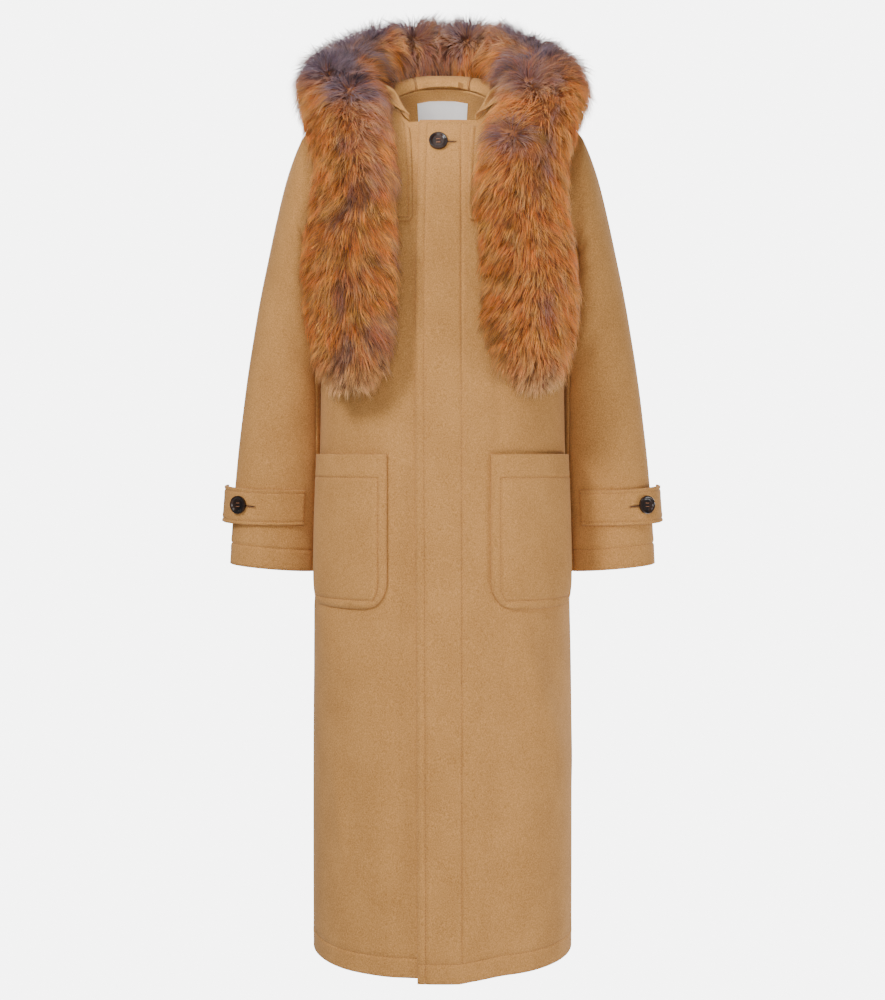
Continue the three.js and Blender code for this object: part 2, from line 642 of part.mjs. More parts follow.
function cuffButton(side) {
  const row = sleeveRowAt(CUFF_BUTTON.z, radians(CUFF_BUTTON.turn));
  const on = (turn, r) => {
    const lift = strapLift((turn - STRAP.from) / (STRAP.to - STRAP.from));
    return sleevePoint(side, r, radians(turn), lift + STRAP.thick + CUFF_BUTTON.off);
  };
  const p = on(CUFF_BUTTON.turn, row);
  const round = on(CUFF_BUTTON.turn + 6, row).sub(on(CUFF_BUTTON.turn - 6, row));
  const down = on(CUFF_BUTTON.turn, row + 0.2).sub(on(CUFF_BUTTON.turn, row - 0.2));
  const normal = round.cross(down).normalize();
  if (normal.x * side < 0) normal.negate();
  return buttonOn(p, normal);
}

// ---------- the hood ----------
const furRows = (side) => {
  const strip = FUR_STRIP.map((row) => ({
    x: side === LEFT ? row.leftX : row.rightX,
    y: row.y,
    z: row.z,
    face: row.face,
    wide: side === LEFT ? row.left : row.right,
    deep: row.deep,
  }));
  return [...FUR, ...strip].map((row, i) => ({ ...row, i }));
};

// A point on the fur's skin: at a place along its rows, and an angle round its section (0 is away from the neck).
function furPoint(side, at, angle, out = 0) {
  const rows = furRows(side);
  const value = (name, i = at) => column(rows, "i", name, clamp(i, 0, rows.length - 1));
  const spine = (i) => vec(value("x", i) * (i < 0 ? -1 : 1), value("y", i), value("z", i));
  const before = at < 0.25 ? spine(0.25).multiply(vec(-1, 1, 1)) : spine(at - 0.25);
  const along = spine(Math.min(at + 0.25, rows.length - 1)).sub(before).normalize();
  const face = radians(value("face"));
  const width = vec(Math.sin(face), Math.cos(face), 0);
  width.addScaledVector(along, -width.dot(along)).normalize();
  const height = along.clone().cross(width).negate().normalize();
  const p = spine(at)
    .addScaledVector(width, Math.cos(angle) * (value("wide") + out))
    .addScaledVector(height, Math.sin(angle) * (value("deep") + out));
  return vec(side * p.x, p.y, p.z);
}

// Stations round the neck, one for each column of the panels' necklines from the centre back to the front:
// where on the fur's section the hood meets it, and how much of the pouch hangs there.
const STATIONS = [
  { fur: 0, meet: -70, hang: 1, stand: 1, spread: 0 },
  { fur: 0.5, meet: -71, hang: 0.99, stand: 1, spread: 46 },
  { fur: 1.05, meet: -74, hang: 0.96, stand: 1, spread: 88 },
  { fur: 1.6, meet: -79, hang: 0.88, stand: 0.98, spread: 116 },
  { fur: 2.2, meet: -90, hang: 0.72, stand: 0.94, spread: 134 },
  { fur: 2.9, meet: -110, hang: 0.44, stand: 0.84, spread: 144 },
  { fur: 3.7, meet: -140, hang: 0.14, stand: 0.7, spread: 140 },
  { fur: 4.6, meet: -166, hang: 0, stand: 0.54, spread: 120 },
  { fur: 5.5, meet: -180, hang: 0, stand: 0.38, spread: 100 },
  { fur: 6.6, meet: -188, hang: 0, stand: 0.24, spread: 80 },
].map((row, i) => ({ ...row, i }));
const CENTRE_STATION = 2; // the hood's side panels begin here
const SHOULDER_STATION = 6;
const NECK_STEPS = [0, 0.3, 0.62, 0.86, 1];
const POUCH_STEPS = [0.012, 0.03, 0.06, 0.12, 0.22, 0.38, 0.5, 0.62, 0.76, 0.87, 0.94, 1];

// The panels' top edge round half the neck, as outer and inner points.
function neckEdge(side) {
  const topOf = (panel, c) => {
    const row = panel.grid.length - 1;
    return { outer: panel.outer[row][c], inner: panel.inner[row][c] };
  };
  const middle = HALF_COLUMNS.length - 1;
  const neckColumn = COLUMN_X.indexOf(NECK_X);
  const behind = Array.from({ length: neckColumn + 1 }, (_, c) => topOf(back, middle + side * c));
  const ahead = [1, 2, 3].map((n) => topOf(fronts[side], LAP_COLUMNS.length + neckColumn - LAP_END - n));
  return [...behind, ...ahead];
}
const neckEdges = { [LEFT]: neckEdge(LEFT), [RIGHT]: neckEdge(RIGHT) };

// The neck seam at a place between two stations, where the hood stands on it.
function hoodFoot(side, at) {
  const edge = neckEdges[side];
  const i = Math.min(Math.floor(at), edge.length - 2);
  const between = (layer) => edge[i][layer].clone().lerp(edge[i + 1][layer], at - i);
  const [outer, inner] = [between("outer"), between("inner")];
  const z = Math.max(outer.z, inner.z) + SEAM;
  // The front neckline is steep, so there the foot stands off it sideways too.
  const aside = side * 9 * SEAM * smooth(at - SHOULDER_STATION);
  return { outer: vec(outer.x - aside, outer.y, z), inner: vec(inner.x - aside, inner.y, z) };
}

// A point moved out of the body, the shorter way, until it lies the gap away from it.
function clearOfBody(p, gap) {
  const rise = shoulderLine(p.x) + gap - p.z;
  const face = p.y < 0 ? "front" : "back";
  const out = depthAt(face, p.x, p.z - gap / 2) + gap - Math.abs(p.y);
  if (rise <= 0 || out <= 0) return p;
  if (out < rise) p.y += faceSign[face] * out;
  else p.z += rise;
  return p;
}

// The hood's line from the neck seam, over the roll, down and up the pouch, to the fur.
function hoodLine(side, at) {
  const value = (name) => column(STATIONS, "i", name, at);
  const hang = clamp(value("hang"));
  const foot = hoodFoot(side, at);
  const seam = foot.outer.clone().add(foot.inner).divideScalar(2);
  const ahead = hoodFoot(side, Math.min(at + 0.4, STATIONS.length - 1)).outer;
  const behind = at < 0.4 ? ahead.clone().setX(-ahead.x) : hoodFoot(side, at - 0.4).outer;
  const along = ahead.clone().sub(behind).setZ(0).normalize();
  const outward = vec(-along.y, along.x, 0);
  if (outward.dot(vec(seam.x, seam.y, 0)) < 0) outward.negate();
  outward.lerp(vec(0, -1, 0), smooth(at - SHOULDER_STATION) * 0.8).normalize();
  const meet = furPoint(side, value("fur"), radians(value("meet")), -HOOD.into);
  const line = NECK_STEPS.map((t) => {
    const bend = (t * Math.PI) / 2;
    const p = seam.clone();
    p.z += HOOD.stand * value("stand") * Math.sin(bend) ** 0.9;
    return p.addScaledVector(outward, HOOD.roll * value("stand") ** 2 * (1 - Math.cos(bend)) ** 1.1);
  });
  const start = line[line.length - 1];
  for (const f of POUCH_STEPS) {
    const fall = 1 - Math.abs(2 * f - 1) ** 2.6;
    const p = start.clone().lerp(meet, f);
    p.z -= HOOD.depth * hang * fall;
    p.x = mix(p.x, side * value("spread"), fall * Math.sqrt(hang));
    const layers = HOOD.room * (0.3 + 0.7 * hang) * smooth((f - 0.25) / 0.5);
    const hung = depthAt("back", p.x, p.z) + HOOD.clear + layers;
    p.y = mix(p.y, hung, smooth(fall * 1.6) * smooth(hang * 3));
    line.push(clearOfBody(p, HOOD.clear));
  }
  return { line, foot };
}

// The pouch's inner points drawn towards their neighbours' mean, a few times over, and kept clear of the body.
function relaxed(grid) {
  let now = grid;
  for (let i = 0; i < HOOD.rounds; i++)
    now = now.map((row, r) =>
      row.map((p, c) => {
        if (r <= NECK_STEPS.length || c === 0 || r === grid.length - 1 || c === row.length - 1) return p;
        const mean = now[r - 1][c].clone().add(now[r + 1][c]).add(row[c - 1]).add(row[c + 1]);
        return clearOfBody(p.clone().lerp(mean.divideScalar(4), 0.5), HOOD.clear);
      }),
    );
  return now;
}

// A panel of the hood through its lines, trimmed where it meets the fur.
function hoodPanel(places) {
  const lines = places.map(({ side, at }) => hoodLine(side, at));
  const grid = relaxed(lines[0].line.map((_, r) => lines.map(({ line }) => line[r])));
  const normals = gridNormals(grid, 1);
  const layers = [offsetGrid(grid, normals, CLOTH / 2), offsetGrid(grid, normals, -CLOTH / 2)];
  const { outer } = lines[0].foot;
  const first = layers[0][0][0].distanceTo(outer) < layers[1][0][0].distanceTo(outer) ? 0 : 1;
  layers[first][0] = lines.map(({ foot }) => foot.outer);
  layers[1 - first][0] = lines.map(({ foot }) => foot.inner);
  const fur = solidOf(tubeThrough(furRings(LEFT, -FUR_END, FUR_END, FUR_RINGS.hood, 2 * SEAM)));
  return geometryOf(largest(solidOf(wallBetween(...layers)).subtract(fur)).simplify(TRIM_TOLERANCE));
}

const hoodCentre = () =>
  hoodPanel(
    [-1, -0.67, -0.33, 0, 0.33, 0.67, 1].map((t) => ({
      side: t < 0 ? RIGHT : LEFT,
      at: Math.abs(t) * CENTRE_STATION,
    })),
  );

function hoodSide(side) {
  const last = STATIONS.length - 1;
  return hoodPanel(
    steps(14).map((t) => ({ side, at: mix(CENTRE_STATION + HOOD.seam, last - HOOD.seam, t) })),
  );
}

// ---------- fur ----------
// The space the coat takes up, a little swollen, so that what lies on it can be cut to rest on it.
function bodySpace(clear) {
  const slab = (panel) => {
    const outer = offsetGrid(panel.grid, panel.normals, clear);
    const inward = panel === back ? -20 : 20;
    return solidOf(wallBetween(outer, outer.map((row) => row.map((p) => vec(p.x, inward, p.z)))));
  };
  return [slab(fronts[LEFT]), slab(fronts[RIGHT]), slab(back)];
}

function sleeveSpace(side, clear) {
  const { outer, normals } = sleeves[side];
  return solidOf(tubeThrough(offsetGrid(outer, normals, clear)));
}

// Rings of the fur between two places along it; places below zero are on the other side of the centre back.
function furRings(side, from, to, count, out = 0) {
  const angles = Array.from({ length: FUR_SIDES }, (_, i) => (i / FUR_SIDES) * Math.PI * 2);
  return Array.from({ length: count + 1 }, (_, i) => {
    const at = mix(from, to, i / count);
    return angles.map((angle) => furPoint(at < 0 ? -side : side, Math.abs(at), angle, out));
  });
}

// A length of fur, cut so that it rests on the coat.
function furPiece(side, from, to, count, spaces) {
  let solid = solidOf(tubeThrough(furRings(side, from, to, count)));
  for (const space of spaces) solid = solid.subtract(space);
  return geometryOf(largest(solid).simplify(TRIM_TOLERANCE));
}

// ---------- neck fittings ----------
// A label on the inside of the back, made from the back's own points, moved inward.
function neckLabel() {
  const middle = HALF_COLUMNS.length - 1;
  const reach = COLUMN_X.indexOf(LABEL.half);
  const columns = Array.from({ length: reach * 2 + 1 }, (_, i) => middle - reach + i);
  const topRow = ARMPIT_ROW + ARMHOLE.length - 1;
  const layer = (inward) =>
    LABEL.rows.map((fromTop) =>
      columns.map((c) => {
        const r = topRow - fromTop;
        const low = Math.floor(r);
        const p = back.inner[low][c].clone().lerp(back.inner[Math.min(low + 1, topRow)][c], r - low);
        return p.addScaledVector(back.normals[low][c], -inward);
      }),
    );
  return wallBetween(layer(2 * SEAM), layer(2 * SEAM + LABEL.thick));
}

// The hanging loop: sewn to the neck seam at both ends and standing off the cloth between them.
function hangerLoop() {
  const columns = [-1, -0.97, -0.86, -0.5, 0, 0.5, 0.86, 0.97, 1];
  const layer = (extra) =>
    [LOOP.rise, LOOP.rise + LOOP.height].map((rise) =>
      columns.map((s) => {
        const { outer, inner } = hoodFoot(s < 0 ? RIGHT : LEFT, Math.abs(s) * LOOP.reach);
        const inward = inner.clone().sub(outer).setZ(0).normalize();
        const p = inner.addScaledVector(inward, SEAM + LOOP.stand * smooth((1 - Math.abs(s)) / 0.14) + extra);
        return p.setZ(p.z + rise);
      }),
    );
  return wallBetween(layer(LOOP.thick), layer(0));
}

// ---------- the coat ----------
const WOOL = new THREE.MeshStandardMaterial({ color: 0xb98f62, roughness: 0.92 });
const FUR_MATERIAL = new THREE.MeshStandardMaterial({ color: 0xb2693a, roughness: 0.95 });
const HORN = new THREE.MeshStandardMaterial({ color: 0x241a16, roughness: 0.3 });
const SATIN = new THREE.MeshStandardMaterial({ color: 0xe9dfdc, roughness: 0.6 });

const coat = new THREE.Group();

function add(name, made, material) {
  const mesh = made.isMesh ? made : new THREE.Mesh(made);
  mesh.name = name;
  mesh.material = material;
  coat.add(mesh);
}

const YOKE_STACK = SEAM + CLOTH + 0.5;
const spaces = [
  ...bodySpace(YOKE_STACK),
  sleeveSpace(LEFT, 0.5),
  sleeveSpace(RIGHT, 0.5),
];
const furTip = FUR.length + FUR_STRIP.length - 1;

add("back", wallBetween(back.outer, back.inner), WOOL);
for (const side of [LEFT, RIGHT]) {
  const name = side === LEFT ? "left" : "right";
  add(`front_${name}`, wallBetween(fronts[side].outer, fronts[side].inner), WOOL);
  add(`sleeve_${name}_top`, sleevePiece(side, SLEEVE_SEAM_ROW, BACK_SEAM), WOOL);
  add(`sleeve_${name}_under`, sleevePiece(side, BACK_SEAM, RING_TURNS.length + SLEEVE_SEAM_ROW), WOOL);
  add(`pocket_${name}`, pocket(side), WOOL);
  add(`yoke_${name}`, yoke(side), WOOL);
  add(`cuff_strap_${name}`, cuffStrap(side), WOOL);
  add(`cuff_button_${name}`, cuffButton(side), HORN);
  add(`hood_${name}`, hoodSide(side), WOOL);
  add(
    `fur_front_${name}`,
    furPiece(side, FUR_SPLIT + 0.004, furTip, FUR_RINGS.front, spaces),
    FUR_MATERIAL,
  );
}
add("hood_centre", hoodCentre(), WOOL);
add("fur_hood", furPiece(LEFT, -FUR_END, FUR_END, FUR_RINGS.hood, spaces), FUR_MATERIAL);
add("neck_button", neckButton(), HORN);
add("neck_label", neckLabel(), SATIN);
add("hanger_loop", hangerLoop(), WOOL);

export default coat;
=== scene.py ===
import math

import bpy
import numpy as np
from mathutils import Matrix, Vector
from mathutils.kdtree import KDTree


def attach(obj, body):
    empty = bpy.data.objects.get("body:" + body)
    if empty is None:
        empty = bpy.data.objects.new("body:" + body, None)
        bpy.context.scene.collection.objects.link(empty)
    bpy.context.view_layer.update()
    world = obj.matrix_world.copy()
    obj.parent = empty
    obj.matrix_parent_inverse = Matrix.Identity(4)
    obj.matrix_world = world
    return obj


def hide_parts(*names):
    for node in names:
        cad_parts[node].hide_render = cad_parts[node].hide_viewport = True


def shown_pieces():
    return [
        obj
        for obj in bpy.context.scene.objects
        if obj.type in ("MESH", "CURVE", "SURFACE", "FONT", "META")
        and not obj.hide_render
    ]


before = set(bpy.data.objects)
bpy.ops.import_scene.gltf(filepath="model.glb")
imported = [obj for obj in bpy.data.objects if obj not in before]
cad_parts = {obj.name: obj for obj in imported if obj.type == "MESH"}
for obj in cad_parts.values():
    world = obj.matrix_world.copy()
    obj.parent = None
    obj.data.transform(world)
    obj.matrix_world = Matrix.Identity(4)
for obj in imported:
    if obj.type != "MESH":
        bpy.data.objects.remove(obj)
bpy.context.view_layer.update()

# ---------- sizes ----------
CLOTH = 0.003
SEAM = 0.0003
LEFT, RIGHT = 1, -1
SIDE_NAME = {LEFT: "left", RIGHT: "right"}

HEM_Z = -1.274
HEM_DROP = {LEFT: 0.007, RIGHT: 0.0}
ARMPIT_Z = -0.255
SHOULDER_X = 0.205
SHOULDER_SLOPE = 0.41
NECK_X = 0.078
NECK_Z = 0.005
NECK_CROWN = 0.050
BACK_NECK_RISE = 0.028
NECK_SQUARE = 3  # power of the curve over the neck: 2 is a parabola, and more is flatter in the middle
LEVEL_RISE = 0.25  # the panels' rows are level up to this share of the armhole's height
FRONT_NECK_Z = -0.050
FRONT_NECK_FLAT = 0.050
ROUNDNESS = 2.2
SHOULDER_ROUND = {"front": 0.150, "back": 0.104}
CENTRE_X = -0.005
LAP_SIDE_X = {LEFT: 0.042, RIGHT: 0.050}  # the lap's columns run into the side's from here
TUCK = CLOTH + SEAM + 0.0002
FLY_STITCH_X = 0.027
EDGE_STITCH = 0.012  # from the fly's edge
HEM_STITCH = 0.028  # above the hem
LAP_WIDTH = 0.061
SIDE_COLUMNS = 34  # of a body panel, from the lap or the middle to the side seam
GRID = 0.005  # the usual step of a small piece's columns and rows
CLOSE = (0.001, 0.002, 0.0035)  # how far from a stitch line a small piece has its extra ones
NECK_STITCH = 0.009  # below the front neckline


def rows(names, *values):
    """A table with named columns, as a dict of arrays."""
    return {name: np.array(column, float) for name, column in zip(names.split(), zip(*values))}


TORSO = rows(
    "z half front back",
    (-1.290, 0.1950, 0.173, 0.168),
    (-1.100, 0.1955, 0.170, 0.164),
    (-0.900, 0.1950, 0.166, 0.158),
    (-0.760, 0.1925, 0.161, 0.153),
    (-0.640, 0.1890, 0.157, 0.149),
    (-0.530, 0.1855, 0.153, 0.146),
    (-0.400, 0.1835, 0.149, 0.143),
    (-0.255, 0.1820, 0.145, 0.139),
    (-0.213, 0.1880, 0.141, 0.136),
    (-0.172, 0.1945, 0.136, 0.132),
    (-0.130, 0.1995, 0.130, 0.127),
    (-0.089, 0.2080, 0.120, 0.120),
    (-0.047, 0.2290, 0.106, 0.111),
    (0.020, 0.2400, 0.096, 0.095),
)
ARMHOLE = rows(
    "rise half turn",
    (0, 0.1820, -90),
    (0.04, 0.1810, -68),
    (0.12, 0.1790, -46),
    (0.25, 0.1772, -30),
    (0.34, 0.1762, -17),
    (0.47, 0.1763, 0),
    (0.6, 0.1785, 18),
    (0.73, 0.1826, 34),
    (0.84, 0.1880, 49),
    (0.92, 0.1945, 63),
    (0.97, 0.2005, 76),
    (1, 0.2050, 90),
)
SLEEVE_SEAM_TURN = -46
FLY = rows(
    "z over under",
    (-1.3, -0.0355, 0.024),
    (-0.9, -0.037, 0.024),
    (-0.32, -0.039, 0.024),
    (-0.04, -0.0335, 0.024),
)
FOLDS = (
    dict(face="front", x=0.128, top=-0.640, bottom=-1.180, spread=0.034, depth=0.0045),
    dict(face="front", x=0.082, top=-0.820, bottom=-1.290, spread=0.026, depth=-0.003),
    dict(face="front", x=-0.150, top=-0.700, bottom=-1.290, spread=0.032, depth=0.0035),
    dict(face="front", x=-0.072, top=-0.640, bottom=-1.240, spread=0.030, depth=-0.003),
    dict(face="back", x=-0.070, top=-0.420, bottom=-1.300, spread=0.036, depth=0.006),
    dict(face="back", x=0.060, top=-0.520, bottom=-1.300, spread=0.034, depth=0.005),
    dict(face="back", x=0.0, top=-0.560, bottom=-1.300, spread=0.026, depth=-0.004),
)
SLEEVE = rows(
    "row inX inY inZ outX outY outZ deep",
    (0, 0.190, 0.001, -0.246, 0.213, 0.000, -0.060, 0.0720),
    (1, 0.196, 0.003, -0.250, 0.224, 0.000, -0.086, 0.0710),
    (2, 0.197, 0.007, -0.268, 0.237, 0.000, -0.124, 0.0690),
    (3, 0.194, 0.014, -0.296, 0.250, 0.000, -0.174, 0.0660),
    (4, 0.1895, 0.022, -0.334, 0.263, 0.001, -0.232, 0.0640),
    (5, 0.1855, 0.030, -0.382, 0.277, 0.002, -0.300, 0.0620),
    (6, 0.1865, 0.038, -0.440, 0.290, 0.003, -0.378, 0.0600),
    (7, 0.1875, 0.045, -0.500, 0.301, 0.004, -0.456, 0.0580),
    (8, 0.188, 0.050, -0.560, 0.310, 0.005, -0.534, 0.0570),
    (9, 0.190, 0.054, -0.616, 0.316, 0.006, -0.600, 0.0560),
    (10, 0.193, 0.057, -0.668, 0.320, 0.007, -0.656, 0.0555),
    (11, 0.195, 0.058, -0.716, 0.323, 0.008, -0.704, 0.0550),
)
SLEEVE_LAST = 11
SLEEVE_ROW = 0.048  # metres to a row near the sleeve's hem
SLEEVE_RADIUS = 0.062  # round the cuff strap's button
POCKET = dict(inner=0.073, top=-0.536, height=0.222, outer=0.978, corner=0.042, stand=0.011, edge=0.0006)
POCKET_WIDTH = 0.186  # along the cloth
POCKET_STITCH = dict(side=0.013, top=0.034)
STRAP = dict(top=-0.587, width=0.185, height=0.055, rise=0.001, thick=0.0036, stitch=0.006)
STRAP.update(start=-23, end=118, off=0.0012, flare=0.011)  # turns round the sleeve, and distances off it
BUTTON = dict(radius=0.0136, thick=0.0046, well=0.0017, hole=0.0011, hole_at=0.0026)
NECK_BUTTON_Z = -0.086
CUFF_BUTTON = dict(turn=62, z=-0.612, off=0.00035)
HOOD = dict(stand=0.025, roll=0.032, depth=0.292, room=0.056, clear=0.007)
HOOD_STATIONS = rows(
    "i fur meet hang stand spread",
    (0, 0, -70, 1, 1, 0),
    (1, 0.5, -71, 0.99, 1, 0.046),
    (2, 1.05, -74, 0.96, 1, 0.088),
    (3, 1.6, -79, 0.88, 0.98, 0.116),
    (4, 2.2, -90, 0.72, 0.94, 0.134),
    (5, 2.9, -110, 0.44, 0.84, 0.144),
    (6, 3.7, -140, 0.14, 0.70, 0.140),
    (7, 4.6, -166, 0, 0.54, 0.120),
    (8, 5.5, -180, 0, 0.38, 0.100),
    (9, 6.6, -188, 0, 0.24, 0.080),
)
CENTRE_STATION = 2
SHOULDER_STATION = 6
LAST_STATION = 9.0
FUR = rows(
    "x y z face wide deep",
    (0.000, 0.126, 0.104, 0, 0.049, 0.045),
    (0.050, 0.122, 0.102, 20, 0.050, 0.045),
    (0.094, 0.103, 0.091, 40, 0.053, 0.045),
    (0.128, 0.070, 0.070, 62, 0.056, 0.044),
    (0.147, 0.030, 0.045, 78, 0.060, 0.042),
    (0.152, -0.015, 0.022, 88, 0.062, 0.041),
    (0.148, -0.062, -0.004, 86, 0.063, 0.040),
    (0.140, -0.104, -0.042, 78, 0.064, 0.038),
)
FUR_STRIP = rows(
    "z rightX leftX y face right left deep",
    (-0.084, 0.131, 0.124, -0.132, 72, 0.063, 0.066, 0.036),
    (-0.125, 0.126, 0.117, -0.147, 70, 0.065, 0.070, 0.035),
    (-0.180, 0.128, 0.115, -0.155, 68, 0.068, 0.074, 0.034),
    (-0.248, 0.134, 0.123, -0.158, 66, 0.075, 0.077, 0.034),
    (-0.318, 0.134, 0.127, -0.159, 66, 0.072, 0.077, 0.033),
    (-0.362, 0.132, 0.126, -0.160, 66, 0.067, 0.070, 0.032),
    (-0.394, 0.131, 0.128, -0.161, 66, 0.059, 0.057, 0.030),
    (-0.418, 0.132, 0.131, -0.162, 66, 0.048, 0.044, 0.026),
    (-0.434, 0.134, 0.134, -0.162, 66, 0.035, 0.030, 0.021),
    (-0.446, 0.135, 0.136, -0.162, 66, 0.018, 0.014, 0.012),
)
FUR_SPLIT = 7
FUR_TIP = 17

FACE_SIGN = {"front": -1, "back": 1}


# ---------- curves ----------
def mix(a, b, t):
    return a + (b - a) * t


def smooth(t):
    t = np.clip(t, 0, 1)
    return t * t * (3 - 2 * t)


def bell(t, width):
    """A soft ridge of height 1 and the given half-width."""
    return np.exp(-((t / width) ** 2))


def column(table, key, name, at):
    """A column's value at a place in a table whose key column rises, through a smooth curve."""
    keys, values = table[key], table[name]
    last = len(keys) - 1
    places = np.arange(last + 1)
    before, after = np.maximum(places - 1, 0), np.minimum(places + 1, last)
    slope = (values[after] - values[before]) / (keys[after] - keys[before])
    at = np.asarray(at, float)
    i = np.searchsorted(keys[1:-1], at, side="left")
    span = keys[i + 1] - keys[i]
    t = np.clip((at - keys[i]) / span, 0, 1)
    s = t * t * (3 - 2 * t)
    bend = span * (slope[i] * t * (1 - t) ** 2 - slope[i + 1] * t * t * (1 - t))
    return mix(values[i], values[i + 1], s) + bend


def points(x, y, z):
    return np.stack(np.broadcast_arrays(x, y, z), axis=-1).astype(float)


def unit(v):
    return v / np.maximum(np.linalg.norm(v, axis=-1, keepdims=True), 1e-12)


# ---------- the coat's surface ----------
def shoulder_line(x):
    out = np.abs(x)
    crown = NECK_Z + NECK_CROWN * (1 - (out / NECK_X) ** NECK_SQUARE)
    return np.where(out > NECK_X, NECK_Z - (out - NECK_X) * SHOULDER_SLOPE, crown)


def fold_depth(face, x, z):
    total = 0.0
    for fold in FOLDS:
        if fold["face"] == face:
            along = smooth((fold["top"] - z) / 0.16) * smooth((z - fold["bottom"]) / 0.06 + 0.6)
            total = total + fold["depth"] * along * bell(x - fold["x"], fold["spread"])
    return total


def depth_at(face, x, z):
    half = column(TORSO, "z", "half", z)
    depth = column(TORSO, "z", face, z)
    section = np.clip(1 - np.abs(x / half) ** ROUNDNESS, 0, 1) ** (1 / ROUNDNESS)
    fall = np.clip((shoulder_line(x) - z) / SHOULDER_ROUND[face], 0, 1)
    return (depth + fold_depth(face, x, z)) * section * np.sqrt(1 - (1 - fall) ** 2)


def panel_top(face, x):
    out = np.abs(x)
    if face == "front":
        t = np.clip((out - FRONT_NECK_FLAT) / (NECK_X - FRONT_NECK_FLAT), 0, 1)
        neck = mix(FRONT_NECK_Z, NECK_Z, t**1.6)
    else:
        neck = NECK_Z + BACK_NECK_RISE * (1 - np.minimum(out / NECK_X, 1) ** NECK_SQUARE)
    return np.where(out >= NECK_X, shoulder_line(x), neck)


def panel_point(face, side, across, up, hem_z=HEM_Z):
    rise = np.clip(up - 1, 0, 1)
    level = shoulder_line(SHOULDER_X)
    above = panel_top(face, across * SHOULDER_X) - level
    upper = mix(ARMPIT_Z, level, rise) + above * smooth((rise - LEVEL_RISE) / (1 - LEVEL_RISE))
    z = np.where(up <= 1, mix(hem_z, ARMPIT_Z, up), upper)
    half = np.where(up <= 1, column(TORSO, "z", "half", z), column(ARMHOLE, "rise", "half", rise))
    x = side * across * half
    return points(x, FACE_SIGN[face] * (depth_at(face, x, z) + SEAM / 2), z)


LAP_SIDE = {side: x / SHOULDER_X for side, x in LAP_SIDE_X.items()}


def front_surface(side):
    """The front as a surface: lane 0 to 1 is the lap, 1 to 2 runs into the side, 2 to 3 is the side."""

    def surface(lane, up):
        lane, up = np.broadcast_arrays(lane, up)
        drop = HEM_DROP[side]
        across = mix(LAP_SIDE[side], 1, np.clip(lane - 2, 0, 1))
        side_point = panel_point("front", side, across, up, HEM_Z - drop * smooth(1 - across * 2))
        lap_z = panel_point("front", side, np.zeros_like(up), up, HEM_Z - drop)[..., 2]
        t = np.clip(lane, 0, 1) if side == LEFT else 1 - np.clip(lane, 0, 1)
        lap_x = mix(column(FLY, "z", "over", lap_z), column(FLY, "z", "under", lap_z), t)
        share = np.clip(lane - 1, 0, 1)
        x = np.where(lane < 2, mix(lap_x, side_point[..., 0], share), side_point[..., 0])
        z = np.where(lane < 2, mix(lap_z, side_point[..., 2], share), side_point[..., 2])
        return points(x, -(depth_at("front", x, z) + SEAM / 2), z)

    return surface


def back_surface(across, up):
    across, up = np.broadcast_arrays(across, up)
    return panel_point("back", np.where(across < 0, -1, 1), np.abs(across), up)


def surface_normals(surface, u, v, outward):
    """Unit normals of a surface by small steps along u and v, kept inside its own range."""
    u_low, u_high, v_low, v_high = u.min(), u.max(), v.min(), v.max()
    e_u, e_v = (u_high - u_low) * 2e-3, (v_high - v_low) * 2e-3
    along = surface(np.minimum(u + e_u, u_high), v) - surface(np.maximum(u - e_u, u_low), v)
    rising = surface(u, np.minimum(v + e_v, v_high)) - surface(u, np.maximum(v - e_v, v_low))
    return unit(np.cross(along, rising)) * outward


def level_at(normals, weight):
    flat = normals.copy()
    flat[..., 1] *= 1 - weight
    return unit(flat)


# ---------- meshes ----------
def new_mesh(name, vertices, faces, uv=None, colours=None, smooth_faces=True):
    mesh = bpy.data.meshes.new(name)
    mesh.from_pydata(vertices.tolist() if hasattr(vertices, "tolist") else vertices, [], faces)
    if smooth_faces:
        mesh.polygons.foreach_set("use_smooth", np.ones(len(mesh.polygons), bool))
    if uv is not None:
        loops = np.empty(len(mesh.loops), np.int32)
        mesh.loops.foreach_get("vertex_index", loops)
        mesh.uv_layers.new(name="cloth").data.foreach_set("uv", uv[loops].astype(np.float32).ravel())
    if colours is not None:
        layer = mesh.color_attributes.new("hair_colour", "FLOAT_COLOR", "POINT")
        rgba = np.concatenate([colours, np.ones((len(colours), 1))], axis=1)
        layer.data.foreach_set("color", rgba.astype(np.float32).ravel())
    mesh.update()
    piece = bpy.data.objects.new(name, mesh)
    bpy.context.scene.collection.objects.link(piece)
    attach(piece, "root")
    return piece


